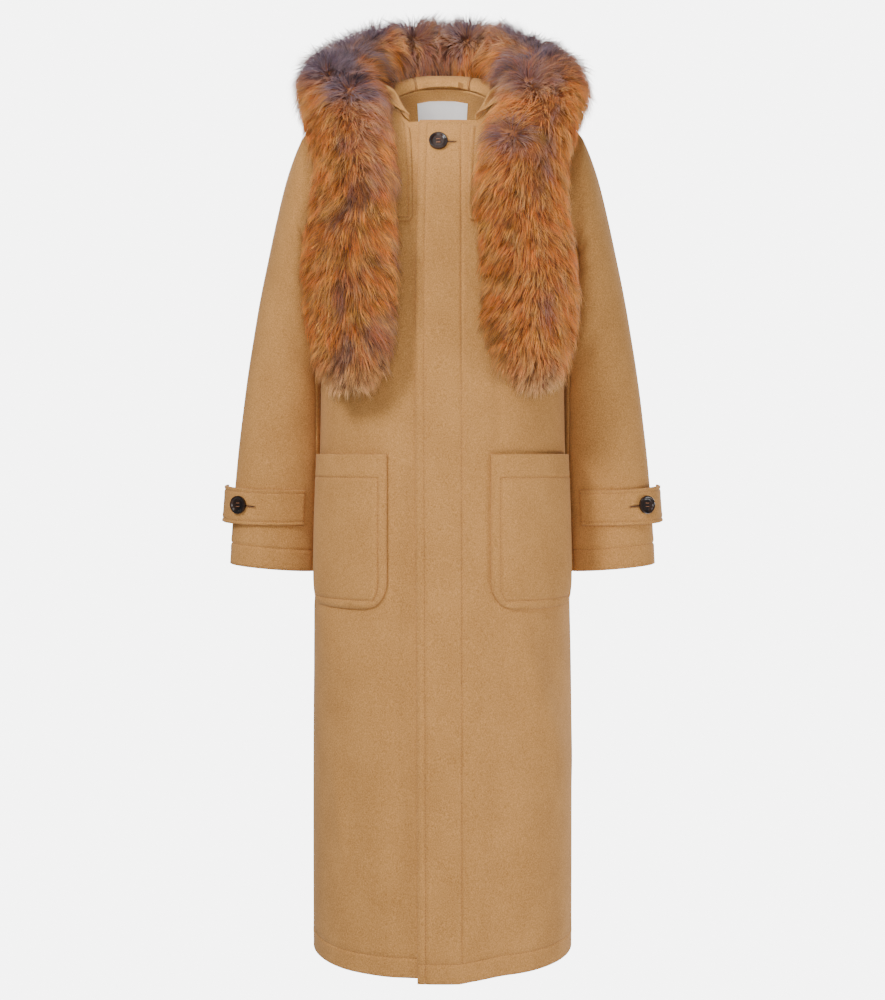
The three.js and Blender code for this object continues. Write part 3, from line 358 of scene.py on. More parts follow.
def shell_mesh(name, outer, inner, slot, closed=False, round_by=0.0009):
    """A cloth wall between two grids, with rounded edges. closed joins its last column to its first."""
    count_v, count_u = outer.shape[:2]
    outer, inner = outer.copy(), inner.copy()
    middle = (outer + inner) / 2

    def draw_in(grid):
        grid[0] += unit(grid[1] - grid[0]) * round_by
        grid[-1] += unit(grid[-2] - grid[-1]) * round_by
        if not closed:
            grid[:, 0] += unit(grid[:, 1] - grid[:, 0]) * round_by
            grid[:, -1] += unit(grid[:, -2] - grid[:, -1]) * round_by

    draw_in(outer)
    draw_in(inner)
    grid_size = count_v * count_u
    index = np.arange(grid_size).reshape(count_v, count_u)
    if closed:
        index = np.concatenate([index, index[:, :1]], axis=1)
    quads = [index[:-1, :-1], index[:-1, 1:], index[1:, 1:], index[1:, :-1]]
    top = np.stack(quads, axis=-1).reshape(-1, 4)
    under = np.stack(quads[::-1], axis=-1).reshape(-1, 4) + grid_size
    if closed:
        loops = [index[0, :-1], index[-1, :-1][::-1]]
    else:
        loops = [np.concatenate([index[0, :-1], index[:-1, -1], index[-1, :0:-1], index[:0:-1, 0]])]
    vertices = [outer.reshape(-1, 3), inner.reshape(-1, 3)]
    faces = [top, under]
    start = 2 * grid_size
    for loop in loops:
        rim = start + np.arange(len(loop))
        nearest, following = loop, np.roll(loop, -1)
        rim_next = np.roll(rim, -1)
        faces.append(np.stack([following, nearest, rim, rim_next], axis=-1))
        faces.append(np.stack([rim_next, rim, nearest + grid_size, following + grid_size], axis=-1))
        vertices.append(middle.reshape(-1, 3)[loop])
        start += len(loop)
    vertices = np.concatenate(vertices)
    faces = np.concatenate(faces)
    first = vertices[faces[:, 0]]
    volume = np.einsum("ij,ij->i", first, np.cross(vertices[faces[:, 1]], vertices[faces[:, 2]])).sum()
    volume += np.einsum("ij,ij->i", first, np.cross(vertices[faces[:, 2]], vertices[faces[:, 3]])).sum()
    if volume < 0:
        faces = faces[:, ::-1]
    steps_u = np.linalg.norm(np.diff(middle, axis=1), axis=-1).mean(0)
    steps_v = np.linalg.norm(np.diff(middle, axis=0), axis=-1).mean(1)
    flat_u = np.concatenate([[0], steps_u.cumsum()])
    flat_v = np.concatenate([[0], steps_v.cumsum()])
    flat = np.stack([values.ravel() for values in np.meshgrid(flat_u, flat_v)], axis=-1)
    uv = np.concatenate([flat, flat, *[flat[loop] for loop in loops]])
    return new_mesh(name, vertices, faces.tolist(), uv)


def around_lines(low, high, step, lines, near=(0.0012, 0.0028, 0.0055)):
    """Values from low to high at the given step, with more of them close to each stitch line."""
    values = list(np.arange(low, high, step)) + [high]
    for line in lines:
        values = [v for v in values if abs(v - line) > near[-1] or v in (low, high)]
        values += [line] + [line + s * d for d in near for s in (-1, 1)]
    return np.array(sorted(v for v in set(values) if low <= v <= high))


def groove(distance, deep=0.0015, wide=0.0014):
    """The pressed line of a row of stitches, with the cloth a little puffed beside it."""
    puff = 0.00035 * bell(np.abs(distance) - 0.005, 0.003)
    return puff - deep * bell(distance, wide)


STITCHES = {"pitch": 0.0042, "length": 0.0031, "radius": 0.0004}


def stitch_run(path, normals, pitch, length):
    """Vertices and faces of the thread along a path: short rounded bars whose ends dip into the cloth."""
    lengths = np.concatenate([[0], np.linalg.norm(np.diff(path, axis=0), axis=-1).cumsum()])
    count = int(lengths[-1] / pitch + 0.01)
    middle = (np.arange(count) + 0.5) * lengths[-1] / count

    def at(values, place):
        return np.stack([np.interp(place, lengths, values[:, k]) for k in range(3)], axis=-1)

    half = length / 2
    centre, normal = at(path, middle), unit(at(normals, middle))
    along = unit(at(path, middle + half) - at(path, middle - half))
    beside = np.cross(normal, along)
    radius = STITCHES["radius"]
    rings = []
    for place, size, lift in ((-1, 0.25, -0.9), (-0.75, 0.9, -0.1), (0.75, 0.9, -0.1), (1, 0.25, -0.9)):
        base = centre + along * half * place + normal * radius * lift
        for k in range(4):
            turn = math.radians(45 + 90 * k)
            rings.append(base + (beside * math.cos(turn) + normal * math.sin(turn)) * radius * size)
    vertices = np.stack(rings, axis=1)
    faces = [[3, 2, 1, 0], [12, 13, 14, 15]]
    for low in (0, 4, 8):
        for k in range(4):
            d = (k + 1) % 4
            faces.append([low + k, low + d, low + 4 + d, low + 4 + k])
    faces = np.array(faces)[:, ::-1]
    all_faces = (faces[None] + (np.arange(count) * 16)[:, None, None]).reshape(-1, 4)
    return vertices.reshape(-1, 3), all_faces


def stitching(name, runs, pitch=STITCHES["pitch"], length=STITCHES["length"]):
    vertices, faces, start = [], [], 0
    for path, normals in runs:
        run_vertices, run_faces = stitch_run(path, normals, pitch, length)
        vertices.append(run_vertices)
        faces.append(run_faces + start)
        start += len(run_vertices)
    new_mesh(name, np.concatenate(vertices), np.concatenate(faces).tolist())


# ---------- the body's panels ----------
HEM_UP = HEM_STITCH / (ARMPIT_Z - HEM_Z)
STITCH_SIDES = np.array([-0.0028, -0.0012, 0, 0.0012, 0.0028])  # rows on and beside a line of stitches
UP = np.unique(
    np.concatenate(
        [
            [0, 0.004, 0.010, 0.018, 0.023],
            HEM_UP + STITCH_SIDES / (ARMPIT_Z - HEM_Z),
            np.linspace(0.038, 1, 82),
            1 + np.linspace(0, 0.97, 36),
            [1.980, 1.988, 1.994, 2.0],
        ]
    )
)


def hem_groove(up):
    return groove((up - HEM_UP) * (ARMPIT_Z - HEM_Z)) * (up < 0.2)


def neckline_groove(p):
    """The stitch line under the level part of the front neckline."""
    level = smooth((FRONT_NECK_FLAT + 0.012 - np.abs(p[..., 0])) / 0.012)
    return groove(p[..., 2] - (FRONT_NECK_Z - NECK_STITCH)) * level


def tuck_at(x, z):
    edge = column(FLY, "z", "over", z)
    return TUCK * smooth((x - (edge - 0.048)) / 0.044)


def seam_levels(across, up, x):
    side_seam = smooth((np.abs(across) - 0.96) / 0.04) * (up <= 1.0)
    shoulder = smooth((up - 1.96) / 0.04) * (np.abs(x) >= NECK_X - 0.001)
    return np.clip(side_seam + shoulder, 0, 1)


# Soft ridges (deep above 0) and hollows of the hanging cloth, each along a line between two places.
DRAPE = rows(
    "x0 z0 x1 z1 wide deep",
    (0.100, -0.770, 0.182, -1.020, 0.020, 0.0060),
    (0.078, -0.800, 0.140, -1.060, 0.022, -0.0040),
    (-0.056, -0.560, -0.054, -1.240, 0.014, -0.0034),
    (-0.154, -0.980, -0.140, -1.130, 0.011, 0.0024),
    (0.080, -0.400, 0.079, -0.545, 0.006, -0.0030),
    (-0.176, -0.740, -0.160, -0.860, 0.020, 0.0040),
    (0.060, -1.120, 0.105, -1.270, 0.026, -0.0028),
    (0.030, -0.700, 0.060, -0.900, 0.024, 0.0016),
    (-0.110, -0.780, -0.090, -1.240, 0.026, 0.0030),
)


def drape(p):
    total = np.zeros(p.shape[:-1])
    x, z = p[..., 0], p[..., 2]
    for x0, z0, x1, z1, wide, deep in zip(*DRAPE.values()):
        long = math.hypot(x1 - x0, z1 - z0)
        share = ((x - x0) * (x1 - x0) + (z - z0) * (z1 - z0)) / long**2
        aside = ((x - x0) * (z1 - z0) - (z - z0) * (x1 - x0)) / long
        total += deep * bell(aside, wide) * smooth(share / 0.3 + 0.3) * smooth((1 - share) / 0.4 + 0.2)
    return total


RUN_IN = {  # the columns between the lap and the side
    LEFT: np.array([0.12, 0.2, 0.26, 0.32, 0.42, 0.6, 0.8]),
    RIGHT: np.array([0.25, 0.5, 0.75]),
}


def front_panel(side):
    surface = front_surface(side)
    lap = around_lines(0, LAP_WIDTH, 0.006, [EDGE_STITCH]) / LAP_WIDTH
    lanes = np.unique(np.concatenate([lap, 1 + RUN_IN[side], 2 + smooth_end(SIDE_COLUMNS)]))
    u, v = np.meshgrid(lanes, UP)
    p = surface(u, v)
    n = surface_normals(surface, u, v, side)
    n = level_at(n, seam_levels(mix(LAP_SIDE[side], 1, np.clip(u - 2, 0, 1)), v, p[..., 0]))
    relief = hem_groove(v) + neckline_groove(p)
    off_the_fly = smooth((side * p[..., 0] - 0.034) / 0.012)
    p = p + n * (drape(p) * off_the_fly)[..., None]
    if side == LEFT:
        below_neck = smooth((FRONT_NECK_Z - NECK_STITCH - p[..., 2]) / 0.001)
        edge = p[..., 0] - column(FLY, "z", "over", p[..., 2]) - EDGE_STITCH
        relief = relief + groove(edge) * below_neck
        relief = relief + groove(p[..., 0] - FLY_STITCH_X) * below_neck * smooth((v - HEM_UP) / 0.002)
    else:
        p = p - n * tuck_at(p[..., 0], p[..., 2])[..., None]
    outer = p + n * relief[..., None]
    panel = shell_mesh(f"front_{SIDE_NAME[side]}_cloth", outer, p - n * CLOTH, "wool")
    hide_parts(f"front_{SIDE_NAME[side]}")
    return panel, outer, n, lanes


def smooth_end(count):
    """Steps from 0 to 1 that grow finer towards 1, where a panel turns round the side."""
    t = np.linspace(0, 1, count)
    return 1 - (1 - t) ** 1.7


def row_of(values, at):
    return int(np.abs(values - at).argmin())


ALLOWANCE = dict(thick=0.0008, under=0.0008, side=0.010, sleeve=0.006, armhole=0.004)


def seam_allowance(name, edge, normal, half):
    """The seam allowance inside a long seam, flat against both pieces that it joins."""
    beside = np.cross(normal, unit(np.gradient(edge, axis=0)))
    middle = edge - normal * (CLOTH + ALLOWANCE["under"])
    across = beside[:, None] * (np.array([-1, 0, 1]) * half)[None, :, None]
    p = middle[:, None] + across
    shell_mesh(name, p, p - normal[:, None] * ALLOWANCE["thick"], "wool")


def armhole_allowance(side):
    """The seam allowance inside an armhole, as a narrow band round it."""
    p = armhole_point(side, np.arange(-180.0, 180.0, 5))
    out = p - p.mean(0)
    out[:, 0] = 0
    out = unit(out)
    p = p - out * (CLOTH + ALLOWANCE["under"])
    aside = np.array([-1, 1])[:, None, None] * np.array([ALLOWANCE["armhole"], 0, 0])
    p = p[None] + aside
    name = f"armhole_{SIDE_NAME[side]}_allowance"
    shell_mesh(name, p, p - out * ALLOWANCE["thick"], "wool", closed=True)


LEVEL_ROW = 60  # a row half way up the fly, where its columns are read


def fly_runs(outer, n, lanes, hem):
    """The paths of the stitches down both sides of the fly and along the neckline."""
    neck = row_of(outer[:, 0, 2], FRONT_NECK_Z - NECK_STITCH)
    level = outer[LEVEL_ROW]
    edge = row_of(level[:, 0], column(FLY, "z", "over", level[0, 2]) + EDGE_STITCH)
    fly = row_of(level[:, 0], FLY_STITCH_X)
    down_edge = (slice(3, neck + 1), edge)
    down_fly = (slice(hem, neck + 1), fly)
    along_neck = (neck, slice(edge, lanes.searchsorted(2.05)))
    return [(outer[path], n[path]) for path in (down_edge, down_fly, along_neck)]


def body_panels():
    runs = []
    for side in (LEFT, RIGHT):
        _, outer, n, lanes = front_panel(side)
        seam = slice(2, row_of(UP, 0.98))
        name = f"side_{SIDE_NAME[side]}_allowance"
        seam_allowance(name, outer[seam, -1], unit(n[seam, -1] * [1, 0, 0]), ALLOWANCE["side"])
        hem = row_of(UP, HEM_UP)
        runs.append((outer[hem], n[hem]))
        if side == LEFT:
            runs += fly_runs(outer, n, lanes, hem)
    across = mix(LAP_SIDE[LEFT], 1, smooth_end(SIDE_COLUMNS))
    middle = np.linspace(0, LAP_SIDE[LEFT], 9)[:-1]
    half = np.concatenate([middle, across])
    across = np.concatenate([-half[:0:-1], half])
    u, v = np.meshgrid(across, UP)
    p = back_surface(u, v)
    n = surface_normals(back_surface, u, v, -1)
    n = level_at(n, seam_levels(u, v, p[..., 0]))
    outer = p + n * hem_groove(v)[..., None]
    panel = shell_mesh("back_cloth", outer, p - n * CLOTH, "wool")
    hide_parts("back")
    hem = row_of(UP, HEM_UP)
    runs.append((outer[hem], n[hem]))
    stitching("body_stitching", runs)


# ---------- what lies on the fronts ----------
def on_front(side, x, z):
    return points(side * x, -(depth_at("front", side * x, z) + SEAM / 2), z)


def pocket_frame(side):
    """The pocket's places: s across from the inner side, t up from the foot, as x and z on the front."""
    inner = POCKET["inner"] + side * CENTRE_X
    bottom = POCKET["top"] - POCKET["height"]

    def place(s, t):
        z = mix(bottom, POCKET["top"], t)
        half = column(TORSO, "z", "half", z)
        start = np.arcsin(np.clip(inner / half, 0, 1))
        end = np.arcsin(POCKET["outer"])
        width = (end - start) * half
        lift = np.maximum(POCKET["corner"] - t * POCKET["height"], 0)
        inset = POCKET["corner"] - np.sqrt(np.maximum(POCKET["corner"] ** 2 - lift**2, 0))
        share = inset / width * 0.9
        return half * np.sin(mix(start, end, mix(share, 1 - share, s))), z, width

    return place


def pocket_surface(side):
    place = pocket_frame(side)

    def surface(s, t):
        x, z, _ = place(s, t)
        return on_front(side, x, z)

    return surface


def pocket(side):
    surface = pocket_surface(side)
    width, height = POCKET_WIDTH, POCKET["height"]
    lines = [POCKET_STITCH["side"], width - POCKET_STITCH["side"]]
    s = around_lines(0, width, GRID, lines, CLOSE) / width
    t_lines = [POCKET_STITCH["side"], height - POCKET_STITCH["top"]]
    t = around_lines(0, height, GRID, t_lines, CLOSE) / height
    u, v = np.meshgrid(s, t)
    p = surface(u, v)
    n = surface_normals(surface, u, v, side)
    sides = 1 - np.abs(2 * u - 1) ** 5
    foot = 1 - (1 - v) ** 6
    stand = POCKET["edge"] + POCKET["stand"] * sides * foot
    base = p + n * stand[..., None]
    across, up = u * width, v * height
    from_edge = np.minimum(np.minimum(across, width - across), np.where(v < 0.5, up, 1))
    top_line = groove(up - t_lines[1])
    inside = smooth((from_edge - POCKET_STITCH["side"] + 0.002) / 0.003)
    below_hem = smooth((t_lines[1] - up + 0.001) / 0.002)
    side_line = groove(from_edge - POCKET_STITCH["side"]) * below_hem
    welt = 0.0010 * bell(from_edge - 0.006, 0.0045)
    relief = side_line + top_line * inside + welt
    outer = base + n * (CLOTH + relief)[..., None]
    name = SIDE_NAME[side]
    piece = shell_mesh(f"pocket_{name}_cloth", outer, base, "wool")
    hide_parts(f"pocket_{name}")
    column_in, column_out = row_of(s, lines[0] / width), row_of(s, lines[1] / width)
    row_foot, row_top = row_of(t, t_lines[0] / height), row_of(t, t_lines[1] / height)
    ring = [(r, column_in) for r in range(row_top, row_foot, -1)]
    ring += [(row_foot, c) for c in range(column_in, column_out)]
    ring += [(r, column_out) for r in range(row_foot, row_top + 1)]
    ring = tuple(np.array(ring).T)
    top = (np.full(column_out - column_in + 1, row_top), np.arange(column_in, column_out + 1))
    stitching(f"pocket_{name}_stitching", [(outer[ring], n[ring]), (outer[top], n[top])])


YOKE = dict(first=2.0, last=2.985, bottom=1.25, top=1.945)  # where the patch lies on the front's surface
YOKE_SIZE = (0.130, 0.155)
YOKE_STITCH = 0.0068  # inside the patch's edges
TACK = dict(z=-0.114, length=0.011)  # a short bar of stitches in from the patch's front edge


def yoke(side):
    """The shoulder patch, on the front's own surface from its level neckline to the armhole."""
    surface = front_surface(side)
    width, height = YOKE_SIZE
    s = around_lines(0, width, GRID, [YOKE_STITCH], CLOSE) / width
    t = around_lines(0, height, GRID, [YOKE_STITCH], CLOSE) / height
    u, v = np.meshgrid(s, t)

    def patch(a, b):
        corner = 0.10 * np.clip(1 - b / 0.055, 0, 1) ** 2.2
        lane = mix(YOKE["first"] + corner * 0.35 * (1 - a), YOKE["last"], a)
        return surface(lane, mix(YOKE["bottom"], YOKE["top"], b))

    p = patch(u, v)
    n = surface_normals(patch, u, v, side)
    if side == RIGHT:
        p = p - n * tuck_at(p[..., 0], p[..., 2])[..., None]
    base = p + n * 2 * SEAM
    edge = np.minimum(u * width, v * height)
    relief = groove(edge - YOKE_STITCH)
    outer = base + n * (CLOTH + relief)[..., None]
    name = SIDE_NAME[side]
    foot, front = row_of(t, YOKE_STITCH / height), row_of(s, YOKE_STITCH / width)
    path = [(r, front) for r in range(len(t) - 1, foot, -1)] + [(foot, c) for c in range(front, len(s))]
    path = tuple(np.array(path).T)
    tack_row = row_of(outer[:, 0, 2], TACK["z"])
    tack_end = row_of(s, TACK["length"] / width) + 1
    runs = [(outer[path], n[path])]
    if side == LEFT:
        runs.append((outer[tack_row, :tack_end], n[tack_row, :tack_end]))
    stitching(f"yoke_{name}_stitching", runs)
    piece = shell_mesh(f"yoke_{name}_cloth", outer, base, "wool")
    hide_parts(f"yoke_{name}")


# ---------- sleeves ----------
def sleeve_ring(side, turn, row, out=0.0):
    """A point of the sleeve's tube. turn is in degrees: -90 is the underarm, 0 the front, 90 outside."""
    at = {name: column(SLEEVE, "row", name, row) for name in SLEEVE if name != "row"}
    inside = points(at["inX"], at["inY"], at["inZ"])
    outside = points(at["outX"], at["outY"], at["outZ"])
    middle, reach = (inside + outside) / 2, (outside - inside) / 2
    half = np.linalg.norm(reach, axis=-1, keepdims=True)
    across = reach / half
    fore = np.zeros_like(across)
    fore[..., 1] = -1
    fore = unit(fore + across * across[..., 1:2])
    turn = np.radians(turn)
    out = np.asarray(out)[..., None]
    p = middle + across * np.sin(turn)[..., None] * (half + out)
    p = p + fore * np.cos(turn)[..., None] * (at["deep"][..., None] + out)
    p[..., 0] *= side
    return p


def armhole_point(side, turn):
    forward = turn <= 90
    own = np.where(forward, turn, 180 - turn)
    rise = column(ARMHOLE, "turn", "rise", own)
    ahead = panel_point("front", side, np.ones_like(rise), 1 + rise)
    behind = panel_point("back", side, np.ones_like(rise), 1 + rise)
    p = np.where(forward[..., None], ahead, behind)
    p[..., 0] += side * (SEAM + 0.0002)
    return p


def sleeve_surface(side):
    def shaped(turn, row):
        p = sleeve_ring(side, turn, row)
        ease = np.interp(row, [0, 1, 2, 3], [0.62, 0.3, 0.1, 0])
        p[..., 1] = mix(p[..., 1], armhole_point(side, turn)[..., 1], ease)
        return p

    def surface(turn, row):
        turn, row = np.broadcast_arrays(np.asarray(turn, float), np.asarray(row, float))
        t = np.clip(row + 1, 0, 1)[..., None]
        first, second = armhole_point(side, turn), shaped(turn, np.zeros_like(row))
        third = shaped(turn, np.ones_like(row))
        start_slope, end_slope = second - first, (third - first) / 2
        blend = mix(first, second, t * t * (3 - 2 * t))
        blend = blend + start_slope * t * (1 - t) ** 2 - end_slope * t * t * (1 - t)
        return np.where((row < 0)[..., None], blend, shaped(turn, np.maximum(row, 0)))

    return surface


CREASES = (
    dict(row=1.6, turn=-30, length=34, width=0.26, depth=-0.0030, slope=0.016),
    dict(row=2.6, turn=-46, length=30, width=0.28, depth=-0.0035, slope=0.02),
    dict(row=5.4, turn=-8, length=46, width=0.34, depth=-0.0030, slope=-0.010),
    dict(row=6.3, turn=18, length=54, width=0.40, depth=-0.0026, slope=0.012),
    dict(row=7.2, turn=-12, length=44, width=0.34, depth=-0.0024, slope=0.008),
    dict(row=5.9, turn=186, length=50, width=0.36, depth=-0.0034, slope=0.012),
    dict(row=4.6, turn=172, length=46, width=0.34, depth=-0.0028, slope=-0.014),
    dict(row=2.2, turn=214, length=34, width=0.30, depth=-0.0034, slope=0.018),
)


def sleeve_creases(side, turn, row):
    total = 0.0
    for n, crease in enumerate(CREASES):
        shift = 0.25 * math.sin(2.4 * n + 1.3 * side)
        line = crease["row"] + shift + crease["slope"] * (turn - crease["turn"])
        along = bell(turn - crease["turn"], crease["length"])
        total = total + crease["depth"] * bell(row - line, crease["width"]) * along
    return total


SLEEVE_STITCH = 0.033  # above the sleeve's hem


def sleeve_piece(side, start, end, name, columns):
    surface = sleeve_surface(side)
    stitch_row = SLEEVE_LAST - SLEEVE_STITCH / SLEEVE_ROW
    spans = ((-1, 0, 7), (0, 3, 18), (3, stitch_row - 0.12, 58), (stitch_row + 0.12, SLEEVE_LAST, 5))
    row_list = [np.linspace(*span) for span in spans]
    row_list = np.unique(np.concatenate([*row_list, stitch_row + STITCH_SIDES / SLEEVE_ROW]))
    gap = 0.12
    turns = np.linspace(start + gap, end - gap, columns)
    u, v = np.meshgrid(turns, row_list)
    p = surface(u, v)
    n = surface_normals(surface, u, v, -side)
    p = p + n * sleeve_creases(side, u, v)[..., None] * smooth(v / 0.6)[..., None]
    from_seam = np.minimum(u - start, end - u) * 0.001
    relief = groove((v - stitch_row) * SLEEVE_ROW) - 0.0008 * bell(from_seam, 0.0022)
    outer = p + n * relief[..., None]
    piece = shell_mesh(f"{name}_cloth", outer, p - n * CLOTH, "wool")
    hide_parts(name)
    at = row_of(row_list, stitch_row)
    return piece, (outer[at], n[at])


def sleeves():
    for side in (LEFT, RIGHT):
        name = SIDE_NAME[side]
        back_turn = 180 - SLEEVE_SEAM_TURN
        top, top_run = sleeve_piece(side, SLEEVE_SEAM_TURN, back_turn, f"sleeve_{name}_top", 76)
        round_turn = 360 + SLEEVE_SEAM_TURN
        under, under_run = sleeve_piece(side, back_turn, round_turn, f"sleeve_{name}_under", 20)
        stitching(f"sleeve_{name}_stitching", [top_run, under_run])
        armhole_allowance(side)
        surface = sleeve_surface(side)
        for place, turn in (("front", SLEEVE_SEAM_TURN), ("back", back_turn)):
            u, v = np.meshgrid([turn - 2.0, turn, turn + 2.0], np.linspace(0.3, SLEEVE_LAST - 0.05, 70))
            edge, n = surface(u, v)[:, 1], surface_normals(surface, u, v, -side)[:, 1]
            seam_allowance(f"sleeve_{name}_{place}_allowance", edge, n, ALLOWANCE["sleeve"])


def sleeve_row_at(z, turn):
    """Which row of the sleeve is at a height, on the side of it that the turn faces."""
    z, turn = np.broadcast_arrays(np.asarray(z, float), np.asarray(turn, float))
    rows_found = np.empty(z.shape)
    for own in np.unique(turn):
        share = (1 + math.sin(math.radians(own))) / 2
        fall = -mix(SLEEVE["inZ"], SLEEVE["outZ"], share)
        here = turn == own
        rows_found[here] = column({"fall": fall, "row": SLEEVE["row"]}, "fall", "row", -z[here])
    return rows_found


def strap_lift(share):
    return STRAP["off"] + STRAP["flare"] * smooth((share - 0.35) / 0.6)


def strap_surface(side):
    def surface(share, up):
        share, up = np.broadcast_arrays(np.asarray(share, float), np.asarray(up, float))
        turn = mix(STRAP["start"], STRAP["end"], share)
        row = sleeve_row_at(STRAP["top"] - STRAP["height"] * (1 - up) + STRAP["rise"] * share, turn)
        return sleeve_ring(side, turn, row, strap_lift(share))

    return surface


def cuff_strap(side):
    surface = strap_surface(side)
    width, height, line = STRAP["width"], STRAP["height"], STRAP["stitch"]
    s = around_lines(0, width, GRID, [width - line], CLOSE) / width
    t = around_lines(0, height, 0.004, [line, height - line], CLOSE) / height
    u, v = np.meshgrid(s, t)
    p = surface(u, v)
    n = surface_normals(surface, u, v, side)
    from_edge = np.minimum(np.minimum(v, 1 - v) * height, (1 - u) * width)
    relief = groove(from_edge - line, 0.0008, 0.0013) + 0.0004 * bell(from_edge - 0.003, 0.002)
    name = SIDE_NAME[side]
    inside_cuff = np.array([side * 0.255, 0.03, -0.61])
    if (n * (p - inside_cuff)).sum(-1).mean() < 0:
        n = -n
    outer = p + n * (STRAP["thick"] + relief)[..., None]
    piece = shell_mesh(f"cuff_strap_{name}_cloth", outer, p, "wool", round_by=0.0012)
    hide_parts(f"cuff_strap_{name}")
    low, high = row_of(t, line / height), row_of(t, 1 - line / height)
    end = row_of(s, 1 - line / width)
    ring = [(low, c) for c in range(end)] + [(r, end) for r in range(low, high)]
    ring += [(high, c) for c in range(end, -1, -1)]
    ring = tuple(np.array(ring).T)
    stitching(f"cuff_strap_{name}_stitching", [(outer[ring], n[ring])])


# ---------- buttons ----------
THREAD = 0.0006  # half the thickness of a button's sewing thread
SLIT = dict(length=0.019, wide=0.0016, stand=0.0007)


def none_selected():
    if bpy.context.object and bpy.context.object.mode != "OBJECT":
        bpy.ops.object.mode_set(mode="OBJECT")
    bpy.ops.object.select_all(action="DESELECT")


def use_modifier(piece, kind, **values):
    """Puts a modifier with the given values on a piece and applies it."""
    modifier = piece.modifiers.new(kind.lower(), kind)
    for name, value in values.items():
        setattr(modifier, name, value)
    bpy.context.view_layer.objects.active = piece
    bpy.ops.object.modifier_apply(modifier=modifier.name)


def round_edges(piece, width, segments, angle):
    """Bevels a piece's edges that are sharper than an angle in degrees."""
    sharp = math.radians(angle)
    use_modifier(piece, "BEVEL", width=width, segments=segments, limit_method="ANGLE", angle_limit=sharp)


def place_piece(piece, name, place, normal):
    """Turns a piece's own +Z to a normal, moves it to a place and keeps both in its mesh."""
    piece.name = piece.data.name = name
    turn = Vector(normal).to_track_quat("Z", "Y")
    piece.data.transform(turn.to_matrix().to_4x4())
    piece.data.transform(Matrix.Translation(Vector(place)))
    piece.location = (0, 0, 0)
    bpy.context.view_layer.objects.active = piece
    bpy.ops.object.shade_smooth_by_angle(angle=math.radians(40))


def turned_disc():
    """A disc with a raised rim round a shallow well, and four holes."""
    none_selected()
    radius, thick = BUTTON["radius"], BUTTON["thick"]
    middle = (0, 0, thick / 2)
    bpy.ops.mesh.primitive_cylinder_add(vertices=48, radius=radius, depth=thick, location=middle)
    disc = bpy.context.object
    bpy.ops.object.transform_apply(location=True, rotation=True, scale=True)
    bpy.ops.object.mode_set(mode="EDIT")
    bpy.ops.mesh.select_all(action="DESELECT")
    bpy.ops.object.mode_set(mode="OBJECT")
    for face in disc.data.polygons:
        face.select = face.normal.z > 0.9
    bpy.ops.object.mode_set(mode="EDIT")
    bpy.ops.mesh.inset(thickness=0.0026)
    bpy.ops.mesh.inset(thickness=0.0018, depth=-BUTTON["well"])
    bpy.ops.object.mode_set(mode="OBJECT")
    round_edges(disc, 0.0007, 3, 28)
    reach, hole = BUTTON["hole_at"], BUTTON["hole"]
    for x, y in ((reach, reach), (-reach, reach), (-reach, -reach), (reach, -reach)):
        bpy.ops.mesh.primitive_cylinder_add(vertices=14, radius=hole, depth=0.02, location=(x, y, 0))
        drill = bpy.context.object
        use_modifier(disc, "BOOLEAN", operation="DIFFERENCE", object=drill, solver="EXACT")
        bpy.data.objects.remove(drill)
    return disc


def button_thread():
    """Two short bars of thread between the holes, as one piece, a little below the rim."""
    none_selected()
    reach, low = BUTTON["hole_at"], BUTTON["thick"] - BUTTON["well"]
    lying, long = (0, math.pi / 2, 0), 2 * reach + 0.001
    bars = []
    for y in (-reach, reach):
        at = (0, y, low + THREAD * 0.5)
        size = dict(vertices=10, radius=THREAD, depth=long)
        bpy.ops.mesh.primitive_cylinder_add(location=at, rotation=lying, **size)
        bar = bpy.context.object
        bpy.ops.object.transform_apply(location=True, rotation=True, scale=True)
        round_edges(bar, 0.00035, 2, 50)
        bars.append(bar)
    none_selected()
    for bar in bars:
        bar.select_set(True)
    bpy.context.view_layer.objects.active = bars[0]
    bpy.ops.object.join()
    return bars[0]


def button(name, place, normal):
    disc = turned_disc()
    place_piece(disc, f"{name}_horn", place, normal)
    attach(disc, "root")
    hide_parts(name)
    thread = button_thread()
    place_piece(thread, f"{name}_thread", place, normal)
    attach(thread, "root")


def buttonhole(name, path, normals):
    """A narrow slit along a path on the cloth, drawn as a thin near-black lens of painted shadow lying on
    it, with close stitches all round it.
    """
    along = unit(np.gradient(path, axis=0))
    beside = np.cross(normals, along)
    count = len(path)
    share = np.linspace(-1, 1, count)
    half = (SLIT["wide"] / 2 * np.sqrt(np.clip(1.04 - share**2, 0, 1)))[:, None]
    lift = normals * SLIT["stand"] * 0.4
    edge = np.concatenate([path + beside * half, (path - beside * half)[::-1]])
    top = edge + np.concatenate([lift, lift[::-1]])
    under = edge - np.concatenate([lift, lift[::-1]])
    total = 2 * count
    faces = [(i, 2 * count - 1 - i, 2 * count - 2 - i, i + 1) for i in range(count - 1)]
    faces += [tuple(total + i for i in face[::-1]) for face in faces]
    faces += [((i + 1) % total, i, i + total, (i + 1) % total + total) for i in range(total)]
    # The slit is a thin dark lens on the cloth: painted shadow where the buttonhole opens.
    slit = new_mesh(f"{name}_slit", np.concatenate([top, under]), faces)
    turn_outward(slit)
    runs = []
    for place, side_way in [(p, s) for p in np.linspace(0, count - 1, 15) for s in (-1, 1)]:
        i = min(int(round(place)), count - 1)
        start = path[i] + beside[i] * side_way * half[i] * 0.6 + normals[i] * 0.0004
        end = start + beside[i] * side_way * 0.0021
        line = np.linspace(start, end, 3)
        runs.append((line, np.repeat(normals[i][None], 3, axis=0)))
    stitching(f"{name}_stitching", runs, pitch=0.0021, length=0.0023)


